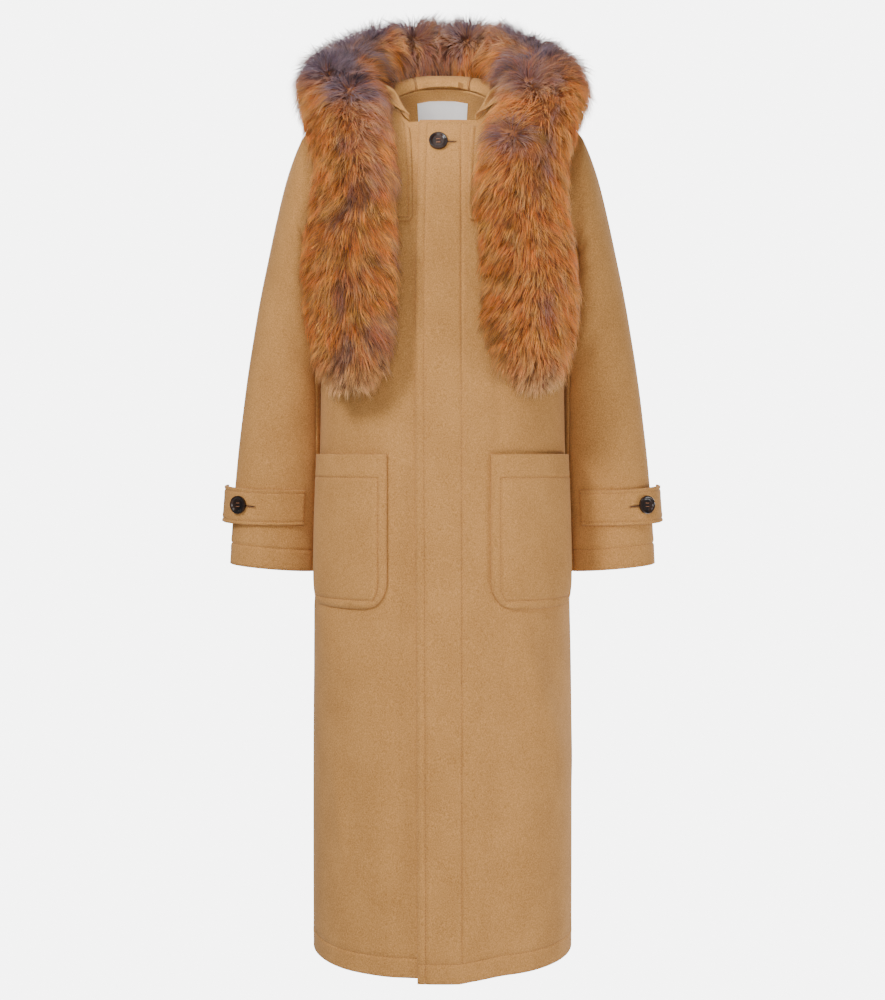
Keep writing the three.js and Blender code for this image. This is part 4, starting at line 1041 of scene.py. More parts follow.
def front_fastening():
    x, z = CENTRE_X - 0.001, NECK_BUTTON_Z
    slope = depth_at("front", x, z + 0.002) - depth_at("front", x, z - 0.002)
    normal = unit(np.array([0, -1, abs(float(slope)) / 0.004]))
    place = np.array([x, -(float(depth_at("front", x, z)) + SEAM / 2) - 0.0005, z])
    button("neck_button", place + normal * SEAM, normal)
    xs = x + BUTTON["radius"] + np.linspace(-0.004, SLIT["length"] - 0.006, 12)
    path = on_front(LEFT, xs, np.full_like(xs, z)) + normal * 0.0003
    buttonhole("neck_buttonhole", path, np.repeat(normal[None], len(xs), axis=0))


def cuff_fastening(side):
    turn, z = CUFF_BUTTON["turn"], CUFF_BUTTON["z"]
    row = sleeve_row_at(z, turn)

    def on_strap(at, r, out):
        at, r = np.broadcast_arrays(np.asarray(at, float), np.asarray(r, float))
        lift = strap_lift((at - STRAP["start"]) / (STRAP["end"] - STRAP["start"]))
        return sleeve_ring(side, at, r, lift + STRAP["thick"] + out)

    def normal_at(at):
        around = on_strap(at + 3, row, 0) - on_strap(at - 3, row, 0)
        down = on_strap(at, row + 0.2, 0) - on_strap(at, row - 0.2, 0)
        n = unit(np.cross(around, down))
        return n * np.where(n[..., :1] * side < 0, -1, 1)

    place = on_strap(turn, row, CUFF_BUTTON["off"]).reshape(3)
    normal = normal_at(np.array([turn])).reshape(3)
    button(f"cuff_button_{SIDE_NAME[side]}", place + normal * SEAM, normal)
    step = math.degrees(1 / SLEEVE_RADIUS)
    turns = turn - step * (BUTTON["radius"] + np.linspace(-0.005, SLIT["length"] - 0.008, 12))
    buttonhole(f"cuff_buttonhole_{SIDE_NAME[side]}", on_strap(turns, row, 0.0003), normal_at(turns))


# ---------- the hood ----------
def clear_of_body(p, gap):
    x, y, z = p[..., 0], p[..., 1], p[..., 2]
    ahead = y < 0
    depth = np.where(ahead, depth_at("front", x, z - gap / 2), depth_at("back", x, z - gap / 2))
    rise = shoulder_line(x) + gap - z
    out = depth + gap - np.abs(y)
    inside = (rise > 0) & (out > 0)
    sideways = inside & (out < rise)
    moved = p.copy()
    moved[..., 1] = np.where(sideways, y + np.where(ahead, -out, out), y)
    moved[..., 2] = np.where(inside & ~sideways, z + rise, z)
    return moved


def fur_rows(side):
    strip = FUR_STRIP
    x, wide = (strip["leftX"], strip["left"]) if side == LEFT else (strip["rightX"], strip["right"])
    own = {**strip, "x": x, "wide": wide}
    table = {name: np.concatenate([FUR[name], own[name]]) for name in FUR}
    table["i"] = np.arange(len(table["x"]), dtype=float)
    return table


FUR_ROWS = {side: fur_rows(side) for side in (LEFT, RIGHT)}


def fur_frame(side, at):
    """The fur's spine, the ways along, across and up from the body, and its half sizes, at a place."""
    table = FUR_ROWS[side]

    def spine(i):
        i = np.abs(i)
        return points(*(column(table, "i", name, i) for name in "xyz"))

    at = np.asarray(at, float)
    before = spine(at - 0.25)
    before[..., 0] *= np.where(at < 0.25, -1, 1)
    along = unit(spine(np.minimum(at + 0.25, FUR_TIP)) - before)
    face = np.radians(column(table, "i", "face", at))
    width = points(np.sin(face), np.cos(face), np.zeros_like(face))
    width = unit(width - along * (width * along).sum(-1, keepdims=True))
    height = unit(np.cross(along, width))
    return spine(at), along, width, height, column(table, "i", "wide", at), column(table, "i", "deep", at)


def fur_point(side, at, angle, out=0.0):
    """A point on the fur's skin. angle is in degrees: 0 is away from the neck, 90 away from the body."""
    spine, _, width, height, wide, deep = fur_frame(side, at)
    angle = np.radians(angle)
    p = spine + width * (np.cos(angle) * (wide + out))[..., None]
    p = p + height * (np.sin(angle) * (deep + out))[..., None]
    p[..., 0] *= side
    return p


def hood_foot(side, at):
    """The middle of the neck seam's wall, and the direction away from the neck, at a station."""
    knots = np.array([0, 0.021, 0.042, 0.050, 0.059, 0.069, NECK_X, 0.069, 0.059, 0.050])
    stations = np.arange(10)
    across = np.interp(at, stations, knots) / SHOULDER_X
    behind = panel_point("back", side, across, np.full_like(at, 2.0))
    ahead = panel_point("front", side, across, np.full_like(at, 2.0))
    p = np.where((at <= SHOULDER_STATION)[..., None], behind, ahead)
    p[..., 0] -= side * 0.0027 * smooth(at - SHOULDER_STATION)
    return p


def hood_surface(side):
    def surface(at, v):
        at, v = np.broadcast_arrays(np.asarray(at, float), np.asarray(v, float))
        value = {name: column(HOOD_STATIONS, "i", name, at) for name in HOOD_STATIONS if name != "i"}
        hang = np.clip(value["hang"], 0, 1)
        foot = hood_foot(side, at)
        ahead = hood_foot(side, np.minimum(at + 0.4, LAST_STATION))
        behind = hood_foot(side, np.abs(at - 0.4))
        behind[..., 0] *= np.where(at < 0.4, -1, 1)
        along = ahead - behind
        along[..., 2] = 0
        along = unit(along)
        outward = points(-along[..., 1], along[..., 0], np.zeros_like(at))
        outward = outward * np.where((outward * foot).sum(-1, keepdims=True) < 0, -1, 1)
        forward = np.zeros_like(outward)
        forward[..., 1] = -1
        outward = unit(mix(outward, forward, (smooth(at - SHOULDER_STATION) * 0.8)[..., None]))
        seam = foot - outward * CLOTH / 2
        t = np.clip(v, 0, 1)
        bend = t * math.pi / 2
        rise = HOOD["stand"] * value["stand"] * np.sin(bend) ** 0.9
        roll = HOOD["roll"] * value["stand"] ** 2 * np.clip(1 - np.cos(bend), 0, 1) ** 1.1
        neck = seam + outward * roll[..., None]
        neck[..., 2] += rise + SEAM
        meet = fur_point(side, value["fur"], value["meet"], -0.008)
        f = np.clip(v - 1, 0, 1)
        fall = 1 - np.abs(2 * f - 1) ** 2.6
        pouch = mix(neck, meet, f[..., None])
        pouch[..., 2] -= HOOD["depth"] * hang * fall
        pouch[..., 0] = mix(pouch[..., 0], side * value["spread"], fall * np.sqrt(hang))
        layers = HOOD["room"] * (0.3 + 0.7 * hang) * smooth((f - 0.25) / 0.5)
        hung = depth_at("back", pouch[..., 0], pouch[..., 2]) + HOOD["clear"] + layers
        pouch[..., 1] = mix(pouch[..., 1], hung, smooth(fall * 1.6) * smooth(hang * 3))
        pouch = clear_of_body(pouch, HOOD["clear"])
        return np.where((v <= 1)[..., None], neck, pouch)

    return surface


HOOD_STITCH = 0.12  # from the seams between the hood's panels, in stations
HOOD_SPEED = 0.030  # metres to a station there
SEAM_SIDE = HOOD_STITCH + np.array([-0.09, -0.06, -0.03, 0, 0.03, 0.06, 0.10])


def hood_panel(name, node, columns, lines):
    """A hood panel through columns of (side, station), with rows of stitches along the given lines."""
    v = np.concatenate([np.linspace(0, 1, 12), 1 + np.linspace(0, 1, 64)[1:] ** 1.25])
    p = np.stack([hood_surface(side)(np.full_like(v, at), v) for side, at in columns], axis=1)
    for _ in range(3):
        near = (p[:-2, 1:-1] + p[2:, 1:-1] + p[1:-1, :-2] + p[1:-1, 2:]) / 4
        p[1:-1, 1:-1] = mix(p[1:-1, 1:-1], near, 0.5)
    n = unit(np.cross(np.gradient(p, axis=1), np.gradient(p, axis=0)))
    places = np.array([side * at for side, at in columns])
    relief = sum(groove((places - line) * HOOD_SPEED) for line in lines)[None, :, None]
    faces = [p + n * (CLOTH / 2 + relief), p - n * (CLOTH / 2 + relief)]
    piece = shell_mesh(name, *faces, "wool")
    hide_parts(node)
    hung = len(v) // 2
    runs = []
    for line in lines:
        c = row_of(places, line)
        for face, way in ((faces[0], 1), (faces[1], -1)):
            shown = n[0, c, 1] * way < 0
            part = slice(0, 16) if shown else slice(hung, len(v) - 2)
            runs.append((face[part, c], n[part, c] * way))
    return piece, runs


def hood():
    edge = CENTRE_STATION - SEAM_SIDE
    half = np.unique(np.round(np.concatenate([np.linspace(0, 1.72, 11), edge, [CENTRE_STATION]]), 4))
    columns = [(RIGHT, at) for at in half[:0:-1]] + [(LEFT, at) for at in half]
    lines = [way * (CENTRE_STATION - HOOD_STITCH) for way in (LEFT, RIGHT)]
    centre, runs = hood_panel("hood_centre_cloth", "hood_centre", columns, lines)
    for side in (LEFT, RIGHT):
        name = SIDE_NAME[side]
        stations = np.concatenate([[0.03], SEAM_SIDE, np.linspace(0.28, 6.95, 54)]) + CENTRE_STATION
        columns = [(side, at) for at in stations]
        line = [side * (CENTRE_STATION + HOOD_STITCH)]
        piece, side_runs = hood_panel(f"hood_{name}_cloth", f"hood_{name}", columns, line)
        runs += side_runs
    stitching("hood_stitching", runs)


# ---------- fur ----------
HIDE_UNDER = {"ring": 0.009, "strip": 0.012}  # how far the hide lies under the fur's even outline
GUARD = dict(thick=0.00042, bend=15, loose=0.10)
GUARD.update(length={"ring": 0.040, "strip": 0.036}, lift={"ring": 46, "strip": 24})
DOWN = dict(thick=0.00046, bend=0, loose=0.18)
DOWN.update(length={"ring": 0.029, "strip": 0.024}, lift={"ring": 46, "strip": 32})
HAIRS = {"ring": (9600, 21500), "strip": (8800, 20500)}  # guard hairs and down hairs of each piece
PARTING = {LEFT: 74, RIGHT: 90}  # angle of the strips' crest, from which the nap falls to both sides
LOCKS = 9  # hairs to a lock
HAIRY = (-62, 242)  # the angles between which hairs grow, all but the side on the body
HIDE_GAP = 0.0045  # how far the hide and the hairs' roots stay off the cloth
HAIR_GAP = 0.004
WHORLS = (
    dict(side=RIGHT, x=-0.133, z=-0.010, reach=0.034, tone=0.9),
    dict(side=RIGHT, x=-0.172, z=0.030, reach=0.032, tone=0.7),
    dict(side=LEFT, x=0.098, z=-0.084, reach=0.030, tone=0.8),
    dict(side=LEFT, x=0.125, z=0.006, reach=0.034, tone=0.7),
    dict(side=LEFT, x=0.040, z=0.115, reach=0.030, tone=0.3),
    dict(side=RIGHT, x=-0.045, z=0.118, reach=0.030, tone=0.3),
)
ROOT = np.array([0.150, 0.046, 0.022])
RUST = np.array([0.930, 0.250, 0.044])
AMBER = np.array([0.975, 0.415, 0.076])
TAN = np.array([0.970, 0.570, 0.270])
SMOKE = np.array([0.160, 0.112, 0.150])
PALE_SMOKE = np.array([0.430, 0.345, 0.410])


FLAT_BEHIND = 0.195  # the hair behind the hood lies flatter from this y on


def on_strip(at):
    """How far the fur has changed from the ring to the strip, from 0 to 1, at a place along it."""
    return smooth((at - 4.8) / 2.2)


def hide_under(at):
    return mix(HIDE_UNDER["ring"], HIDE_UNDER["strip"], on_strip(at))


def wave_noise(p, scale, seed):
    """Soft noise from -1 to 1, as a sum of a few plane waves."""
    rng = np.random.default_rng(seed)
    total = np.zeros(p.shape[:-1])
    for _ in range(7):
        direction = unit(rng.normal(size=3)) * rng.uniform(0.6, 1.7) * 2 * math.pi / scale
        total += np.sin(p @ direction + rng.uniform(0, 2 * math.pi))
    return total / 2.6


def hide_mesh(name, node, side, start, end, count):
    """The hide that the hairs stand on, as a closed tube from start to end along the fur."""
    at = np.linspace(start, end, count)
    u, v = np.meshgrid(np.linspace(0, 360, 49)[:-1], at)
    other, own = (fur_point(s * side, np.abs(v), u, -hide_under(np.abs(v))) for s in (-1, 1))
    p = clear_of_body(np.where((v < 0)[..., None], other, own), HIDE_GAP)
    n = unit(np.cross(np.gradient(p, axis=1), np.gradient(p, axis=0)))
    p = p + n * (wave_noise(p, 0.03, 5) * 0.0016)[..., None]
    rings, sides = p.shape[:2]
    vertices = np.concatenate([p.reshape(-1, 3), p[0].mean(0)[None], p[-1].mean(0)[None]])
    index = np.arange(rings * sides).reshape(rings, sides)
    following = np.roll(index, -1, axis=1)
    quads = [index[:-1], following[:-1], following[1:], index[1:]]
    faces = np.stack(quads, axis=-1).reshape(-1, 4).tolist()
    first, last = rings * sides, rings * sides + 1
    faces += [(first, d, c) for c, d in zip(index[0], following[0])]
    faces += [(last, c, d) for c, d in zip(index[-1], following[-1])]
    piece = new_mesh(name, vertices, [tuple(int(i) for i in face) for face in faces])
    turn_outward(piece)
    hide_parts(node)


def turn_outward(piece):
    """Turns a closed mesh right side out."""
    mesh = piece.data
    place = np.empty(len(mesh.vertices) * 3)
    mesh.vertices.foreach_get("co", place)
    place = place.reshape(-1, 3)
    mesh.calc_loop_triangles()
    corners = np.empty(len(mesh.loop_triangles) * 3, np.int32)
    mesh.loop_triangles.foreach_get("vertices", corners)
    a, b, c = (place[corners.reshape(-1, 3)[:, k]] for k in range(3))
    if np.einsum("ij,ij->i", a, np.cross(b, c)).sum() < 0:
        mesh.flip_normals()


def hair_roots(side, start, end, count, rng):
    """Even random places on the hide's outer side: how far along the fur, and the angle round it."""
    at = rng.uniform(start, end, count * 4)
    angle = rng.uniform(*HAIRY, count * 4)
    along = np.linspace(0, FUR_TIP, 341)
    spine, _, _, _, wide, deep = fur_frame(side, along)
    speed = np.linalg.norm(np.gradient(spine, along, axis=0), axis=-1)
    crowd = np.interp(at, along, speed * (wide + deep))
    keep = np.flatnonzero(rng.uniform(0, crowd.max(), count * 4) < crowd)[:count]
    return at[keep], angle[keep]


def nap(side, at, angle):
    """The hide under each hair: its place, straight out of it, round the fur and along it."""
    under = -hide_under(at)
    root = fur_point(side, at, angle, under - 0.001)
    outward = unit(fur_point(side, at, angle, 0) - root)
    around = unit(fur_point(side, at, angle + 4, under) - fur_point(side, at, angle - 4, under))
    ahead = fur_point(side, np.minimum(at + 0.12, FUR_TIP), angle, under)
    along = unit(ahead - fur_point(side, np.maximum(at - 0.12, 0), angle, under))
    return clear_of_body(root, HIDE_GAP), outward, around, along


def fur_colours(side, root, at, fall, shade, rng):
    """Root, middle and tip colours: rust and amber, smoky in patches on the ring and along the crest."""
    total = len(at)
    ring = smooth((6.4 - at) / 1.8)
    crest = bell(fall, 0.42)
    patches = smooth(0.5 + 0.9 * wave_noise(root, 0.085, 51) + 0.35 * wave_noise(root, 0.026, 52))
    inner = smooth((fall - 0.1) / 0.5) * (1 - ring) * (side == RIGHT)
    smoky = ring * (0.60 + 0.46 * crest + 0.38 * (patches - 0.5) - 0.26 * smooth((fall - 1.0) / 0.5))
    smoky = smoky + (1 - ring) * (0.10 + 0.50 * patches * bell(fall, 0.22) + 0.34 * inner * patches)
    for whorl in WHORLS:
        if whorl["side"] == side:
            away = root[:, [0, 2]] - np.array([whorl["x"], whorl["z"]])
            smoky = smoky + whorl["tone"] * bell(np.linalg.norm(away, axis=1), whorl["reach"] * 0.8)
    smoky = np.clip(smoky + rng.normal(0, 0.13, total), 0, 1)[:, None]
    warm = np.clip(0.45 + 0.42 * wave_noise(root, 0.045, 53) + rng.normal(0, 0.22, total), 0, 1)[:, None]
    pale = smooth((at - 13.2) / 3.2)[:, None] * 0.75
    middle = mix(mix(mix(RUST, AMBER, warm), SMOKE, smoky), TAN, pale)
    tip = mix(mix(AMBER, TAN, warm * 0.7), PALE_SMOKE, smoky * 0.85)
    return mix(ROOT, middle, 0.4) * shade, middle * shade, np.minimum(mix(tip, TAN, pale) * shade, 0.97)


def hairs(side, start, end, count, kind, rng):
    """Vertices, triangles and colours of one kind of hair over a length of the fur.

    A hair is a long three-sided spike that roots under the hide. Guard hairs bend half way.
    """
    at, angle = hair_roots(side, start, end, count, rng)
    total = len(at)
    root, outward, around, along = nap(side, at, angle)
    strip = on_strip(at)
    crest = mix(92, PARTING[side], strip)
    fall = (angle - crest - 9 * wave_noise(root, 0.08, 11)) / 50
    sway = mix(0.50, 0.15, strip) * wave_noise(root, 0.055, 21)
    ahead = mix(0.50 * side * wave_noise(root, 0.060, 22), 1.0, strip)
    flow = around * (np.clip(fall, -1.15, 1.15) * mix(1.0, 0.50, strip) + sway)[:, None]
    flow = flow + along * ahead[:, None] + rng.normal(0, kind["loose"], (total, 3))
    for whorl in WHORLS:
        if whorl["side"] == side:
            away = root - np.array([whorl["x"], 0, whorl["z"]])
            away[:, 1] = 0
            near = bell(np.linalg.norm(away, axis=1), whorl["reach"]) * (outward[:, 1] < 0.2)
            flow = mix(flow, unit(away) * 1.2, near[:, None] * 0.85)
    flow = unit(flow - outward * (flow * outward).sum(-1, keepdims=True))
    lift = mix(kind["lift"]["ring"], kind["lift"]["strip"], strip)
    rise = np.radians(lift + 6 * wave_noise(root, 0.04, 31) + rng.normal(0, 5, total))
    length = mix(kind["length"]["ring"], kind["length"]["strip"], strip) * rng.uniform(0.68, 1.12, total)
    length = length * (1 + 0.12 * wave_noise(root, 0.05, 41))
    length = length * np.interp(at, [0, 14.5, 17], [1, 1, 0.75])
    bend = math.radians(kind["bend"])

    def onward(turn):
        return outward * np.sin(rise + turn)[:, None] + flow * np.cos(rise + turn)[:, None]

    middle = root + onward(bend) * (length / 2)[:, None]
    tip = middle + onward(-bend) * (length / 2)[:, None]
    leaders = total // LOCKS
    lock = nearest_leader(root, leaders)
    pull = np.clip(rng.normal(0.42, 0.15, total), 0.05, 0.8)[:, None]
    middle = mix(middle, middle[lock] + (root - root[lock]) * 0.9, pull * 0.3)
    tip = mix(tip, tip[lock] + (root - root[lock]) * 0.3, pull)
    tip, middle = clear_of_body(tip, HAIR_GAP), clear_of_body(middle, HAIR_GAP)
    tip[:, 1] -= 0.6 * np.maximum(tip[:, 1] - FLAT_BEHIND, 0)
    dark = np.where(rng.uniform(size=leaders) < 0.15, rng.uniform(0.30, 0.62, leaders), 1)
    shade = ((rng.uniform(0.86, 1.14, leaders) * dark)[lock] * rng.uniform(0.86, 1.14, total))[:, None]
    low, mid, high = fur_colours(side, root, at, fall, shade, rng)
    thick = kind["thick"] * rng.uniform(0.75, 1.2, total)
    return spikes((root, middle, tip), outward, thick, (low, mid, high), kind["bend"] > 0)


def nearest_leader(root, leaders):
    """For each hair the nearest of the first few, which leads its lock."""
    tree = KDTree(leaders)
    for k in range(leaders):
        tree.insert(root[k], k)
    tree.balance()
    return np.array([tree.find(p)[1] for p in root])


def spikes(path, outward, thick, shades, bent):
    """Vertices, triangles and colours of closed three-sided spikes, which may bend half way."""
    root, middle, tip = path
    low, mid, high = shades
    total, size = len(root), 7 if bent else 4
    first = unit(middle - root)
    beside = unit(np.cross(first, outward) + 1e-6)
    above = np.cross(beside, first)
    vertices, colours = np.zeros((total, size, 3)), np.zeros((total, size, 3))
    for k in range(3):
        turn = math.radians(90 + 120 * k)
        ring = (beside * math.cos(turn) * 1.2 + above * math.sin(turn) * 0.7) * thick[:, None]
        vertices[:, k], colours[:, k] = root + ring, low
        if bent:
            vertices[:, 3 + k], colours[:, 3 + k] = middle + ring * 0.85, mid
    vertices[:, -1], colours[:, -1] = tip, high if bent else mix(mid, high, 0.5)
    triangles = [(0, 2, 1)]
    for k in range(3):
        d = (k + 1) % 3
        if bent:
            triangles += [(k, d, 3 + d), (k, 3 + d, 3 + k), (3 + k, 3 + d, 6)]
        else:
            triangles += [(k, d, 3)]
    faces = np.array(triangles)[None] + (np.arange(total) * size)[:, None, None]
    return vertices.reshape(-1, 3), faces.reshape(-1, 3), colours.reshape(-1, 3)


def coat_of_hair(name, side, start, end, counts, seed):
    """The guard hairs and the down of a length of the fur, as one piece."""
    rng = np.random.default_rng(seed)
    share = 1
    guard = hairs(side, start, end, int(counts[0] * share), GUARD, rng)
    down = hairs(side, start, end, int(counts[1] * share), DOWN, rng)
    vertices = np.concatenate([guard[0], down[0]])
    faces = np.concatenate([guard[1], down[1] + len(guard[0])])
    piece = new_mesh(name, vertices, faces.tolist(), colours=np.concatenate([guard[2], down[2]]))
    turn_outward(piece)


def fur():
    hide_mesh("hood_fur_hide", "fur_hood", LEFT, -FUR_SPLIT, FUR_SPLIT, 150)
    for side in (LEFT, RIGHT):
        name = SIDE_NAME[side]
        coat_of_hair(f"hood_fur_{name}", side, 0, FUR_SPLIT, HAIRS["ring"], 100 + side)
        hide_mesh(f"front_fur_{name}_hide", f"fur_front_{name}", side, FUR_SPLIT, FUR_TIP - 0.25, 90)
        ends = (FUR_SPLIT - 0.3, FUR_TIP - 0.3)  # a little over the ring's own hair
        coat_of_hair(f"front_fur_{name}", side, *ends, HAIRS["strip"], 300 + side)


# ---------- materials ----------
def node_tree(name):
    material = bpy.data.materials.new(name)
    material.use_nodes = True
    tree = material.node_tree
    return material, tree, tree.nodes["Principled BSDF"]


def link(tree, out, into):
    tree.links.new(out, into)


def grain_group():
    """A grain as a value from 0 to 1 over the surface: coarse clouds mixed with fine specks."""
    group = bpy.data.node_groups.new("grain", "ShaderNodeTree")
    face = group.interface
    face.new_socket("Place", in_out="INPUT", socket_type="NodeSocketVector")
    for name, value in (("Fine", 600.0), ("Coarse", 30.0), ("Coarse share", 0.3)):
        face.new_socket(name, in_out="INPUT", socket_type="NodeSocketFloat").default_value = value
    face.new_socket("Grain", in_out="OUTPUT", socket_type="NodeSocketFloat")
    start = group.nodes.new("NodeGroupInput")
    end = group.nodes.new("NodeGroupOutput")
    noises = []
    for name, detail in (("Fine", 4.0), ("Coarse", 3.0)):
        noise = group.nodes.new("ShaderNodeTexNoise")
        noise.inputs["Detail"].default_value = detail
        group.links.new(start.outputs["Place"], noise.inputs["Vector"])
        group.links.new(start.outputs[name], noise.inputs["Scale"])
        noises.append(noise.outputs["Fac"])
    blend = group.nodes.new("ShaderNodeMix")
    group.links.new(start.outputs["Coarse share"], blend.inputs["Factor"])
    group.links.new(noises[0], blend.inputs["A"])
    group.links.new(noises[1], blend.inputs["B"])
    group.links.new(blend.outputs["Result"], end.inputs["Grain"])
    return group


FINISHES = {
    "wool": dict(
        name="wool",
        grain=(760, 24, 0.18),
        stops=((0.30, (0.322, 0.146, 0.040)), (0.70, (0.650, 0.325, 0.103))),
        bump=(0.45, 0.0006),
        stretch=(1, 1, 0.7),
        values={
            "Roughness": 0.95,
            "Specular IOR Level": 0.15,
            "Sheen Weight": 0.12,
            "Sheen Roughness": 0.5,
            "Sheen Tint": (1.0, 0.86, 0.68, 1),
        },
    ),
    # The stitching's brown is the thread's own colour. Its darkness, about half the wool's, is painted
    # shade along the stitch lines.
    "stitching": dict(
        name="wool_thread",
        grain=(1500, 60, 0.2),
        stops=((0.3, (0.150, 0.064, 0.020)), (0.7, (0.300, 0.138, 0.044))),
        bump=(0.3, 0.0003),
        values={"Roughness": 0.7},
    ),
    # The slit's near-black colour is painted shadow for the buttonhole's opening.
    "slit": dict(
        name="cut_wool_edge",
        grain=(900, 60, 0.2),
        stops=((0.3, (0.030, 0.014, 0.006)), (0.7, (0.090, 0.042, 0.016))),
        bump=(0.3, 0.0003),
        values={"Roughness": 0.95},
    ),
    "thread": dict(
        name="brown_thread",
        grain=(2500, 90, 0.2),
        stops=((0.3, (0.110, 0.042, 0.018)), (0.7, (0.330, 0.130, 0.055))),
        bump=(0.4, 0.0003),
        values={"Roughness": 0.6},
    ),
    "horn": dict(
        name="horn",
        grain=(160, 45, 0.6),
        stops=((0.40, (0.004, 0.003, 0.003)), (0.66, (0.040, 0.018, 0.011))),
        bump=(0.05, 0.0002),
        stretch=(1, 1, 0.4),
        values={"Roughness": 0.22, "Specular IOR Level": 0.30, "Coat Weight": 0.45, "Coat Roughness": 0.10},
    ),
    "label": dict(
        name="satin",
        grain=(1800, 50, 0.15),
        stops=((0.3, (0.940, 0.900, 0.870)), (0.7, (0.985, 0.960, 0.940))),
        bump=(0.25, 0.0002),
        stretch=(1, 1, 0.3),
        values={"Roughness": 0.42},
    ),
    "hide": dict(
        name="under_fur",
        grain=(260, 60, 0.3),
        stops=((0.30, (0.120, 0.042, 0.020)), (0.70, (0.420, 0.150, 0.052))),
        bump=(0.8, 0.002),
        values={"Roughness": 0.9},
    ),
}


def grained(group, name, grain, stops, bump, values, stretch=(1, 1, 1)):
    """A material whose colour runs through the stops with the grain, which also raises its surface."""
    material, tree, shader = node_tree(name)
    place = tree.nodes.new("ShaderNodeTexCoord").outputs["Object"]
    turned = tree.nodes.new("ShaderNodeMapping")
    turned.inputs["Scale"].default_value = stretch
    link(tree, place, turned.inputs["Vector"])
    node = tree.nodes.new("ShaderNodeGroup")
    node.node_tree = group
    link(tree, turned.outputs["Vector"], node.inputs["Place"])
    for key, value in zip(("Fine", "Coarse", "Coarse share"), grain):
        node.inputs[key].default_value = value
    ramp = tree.nodes.new("ShaderNodeValToRGB")
    for element, (at, colour) in zip(ramp.color_ramp.elements, stops):
        element.position = at
        element.color = (*colour, 1)
    link(tree, node.outputs["Grain"], ramp.inputs["Fac"])
    link(tree, ramp.outputs["Color"], shader.inputs["Base Color"])
    raised = tree.nodes.new("ShaderNodeBump")
    raised.inputs["Strength"].default_value, raised.inputs["Distance"].default_value = bump
    link(tree, node.outputs["Grain"], raised.inputs["Height"])
    link(tree, raised.outputs["Normal"], shader.inputs["Normal"])
    for key, value in values.items():
        shader.inputs[key].default_value = value
    return material


def hair_finish():
    """The hairs' own colours, which change from root to tip."""
    material, tree, shader = node_tree("fur")
    colour = tree.nodes.new("ShaderNodeAttribute")
    colour.attribute_name = "hair_colour"
    link(tree, colour.outputs["Color"], shader.inputs["Base Color"])
    shader.inputs["Roughness"].default_value = 0.55
    shader.inputs["Specular IOR Level"].default_value = 0.12
    return material


def finishes():
    """The materials of the coat, by the word in the names of the pieces that have them."""
    group = grain_group()
    made = {}
    for word, finish in FINISHES.items():
        made[word] = grained(group, **finish)
    made["fur"] = hair_finish()
    return made


def dress_pieces():
    """Gives every piece the finish whose word its name holds, and wool to the rest."""
    made = finishes()
    words = ("stitching", "slit", "thread", "horn", "label", "hide", "fur")
    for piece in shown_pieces():
        kind = next((word for word in words if word in piece.name), "wool")
        piece.data.materials.clear()
        piece.data.materials.append(made[kind])


# ---------- the studio ----------
PALE = 0.24  # the light that the room gives the coat
FLOOR_PALE = 0.45
BACKDROP = 6.2  # how bright the room itself looks


def hang_lamp(name, data, place, target, power):
    data.energy = power
    lamp = bpy.data.objects.new(name, data)
    bpy.context.scene.collection.objects.link(lamp)
    lamp.location = place
    lamp.rotation_euler = (Vector(target) - Vector(place)).to_track_quat("-Z", "Y").to_euler()


def snoot(name, place, target, angle, power):
    """A narrow soft light from a place to a target."""
    data = bpy.data.lights.new(name, "SPOT")
    data.spot_size = math.radians(angle)
    data.spot_blend = 1
    data.shadow_soft_size = 0.12
    hang_lamp(name, data, place, target, power)


def softbox(name, place, size, power):
    """A square soft light from a place to the middle of the coat."""
    data = bpy.data.lights.new(name, "AREA")
    data.size = size
    hang_lamp(name, data, place, (0, 0, -0.5), power)


def seen_and_lit(tree, lit, seen, surface):
    """Shows one shader to the camera and the other to all else."""
    choose = tree.nodes.new("ShaderNodeMixShader")
    path = tree.nodes.new("ShaderNodeLightPath")
    tree.links.new(path.outputs["Is Camera Ray"], choose.inputs["Fac"])
    tree.links.new(lit, choose.inputs[1])
    tree.links.new(seen, choose.inputs[2])
    tree.links.new(choose.outputs[0], surface)


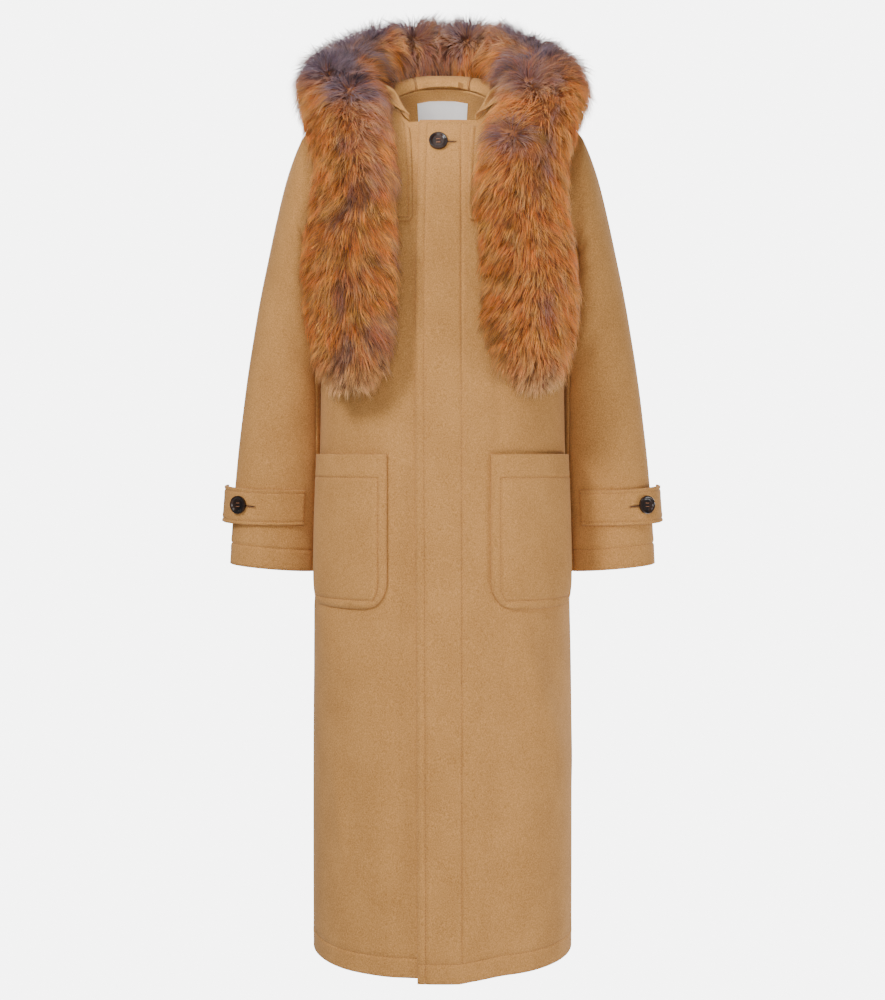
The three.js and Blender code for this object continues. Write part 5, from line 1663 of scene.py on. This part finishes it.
def studio():
    camera = bpy.data.objects.new("camera", bpy.data.cameras.new("camera"))
    bpy.context.scene.collection.objects.link(camera)
    camera.location = (0, -2.25, -0.53)
    camera.rotation_euler = (math.radians(90), 0, 0)
    camera.data.sensor_width = 36
    camera.data.lens = 36 * 2250 / 1520
    camera.data.shift_y = -0.05
    bpy.context.scene.camera = camera

    world = bpy.data.worlds.new("studio")
    world.use_nodes = True
    tree = world.node_tree
    room = tree.nodes["Background"]
    room.inputs["Color"].default_value = (1, 1, 1, 1)
    room.inputs["Strength"].default_value = PALE
    backdrop = tree.nodes.new("ShaderNodeBackground")
    backdrop.inputs["Color"].default_value = (1, 1, 1, 1)
    backdrop.inputs["Strength"].default_value = BACKDROP
    surface = tree.nodes["World Output"].inputs["Surface"]
    seen_and_lit(tree, room.outputs[0], backdrop.outputs[0], surface)
    bpy.context.scene.world = world

    softbox("key", (-1.45, -2.1, 1.0), 0.6, 60)
    softbox("front", (0.0, -2.75, -0.46), 0.9, 31)
    softbox("above", (-0.25, -1.9, 1.5), 0.7, 10)
    snoot("neck", (0.02, -2.4, -0.32), (0.0, 0.07, 0.014), 4.4, 420)
    softbox("side", (2.0, -0.9, -1.35), 0.7, 28)
    softbox("top", (0.2, 0.6, 2.6), 2.0, 16)
    softbox("rear", (-1.1, 2.6, 0.9), 1.0, 62)
    softbox("rear_side", (1.9, 2.0, -0.3), 1.0, 44)

    floor = bpy.data.meshes.new("floor")
    low = HEM_Z - 0.30
    corners = [(x * 30, y * 30, low) for x, y in ((-1, -1), (1, -1), (1, 1), (-1, 1))]
    floor.from_pydata(corners, [], [(0, 1, 2, 3)])
    ground = bpy.data.objects.new("floor", floor)
    bpy.context.scene.collection.objects.link(ground)
    material, tree, shader = node_tree("pale_floor")
    shader.inputs["Base Color"].default_value = (FLOOR_PALE, FLOOR_PALE, FLOOR_PALE, 1)
    shader.inputs["Roughness"].default_value = 0.9
    glow = tree.nodes.new("ShaderNodeEmission")
    glow.inputs["Strength"].default_value = BACKDROP
    surface = tree.nodes["Material Output"].inputs["Surface"]
    seen_and_lit(tree, shader.outputs[0], glow.outputs[0], surface)
    floor.materials.append(material)


body_panels()
for side in (LEFT, RIGHT):
    pocket(side)
    yoke(side)
    cuff_strap(side)
    cuff_fastening(side)
front_fastening()
sleeves()
hood()
fur()
dress_pieces()
studio()
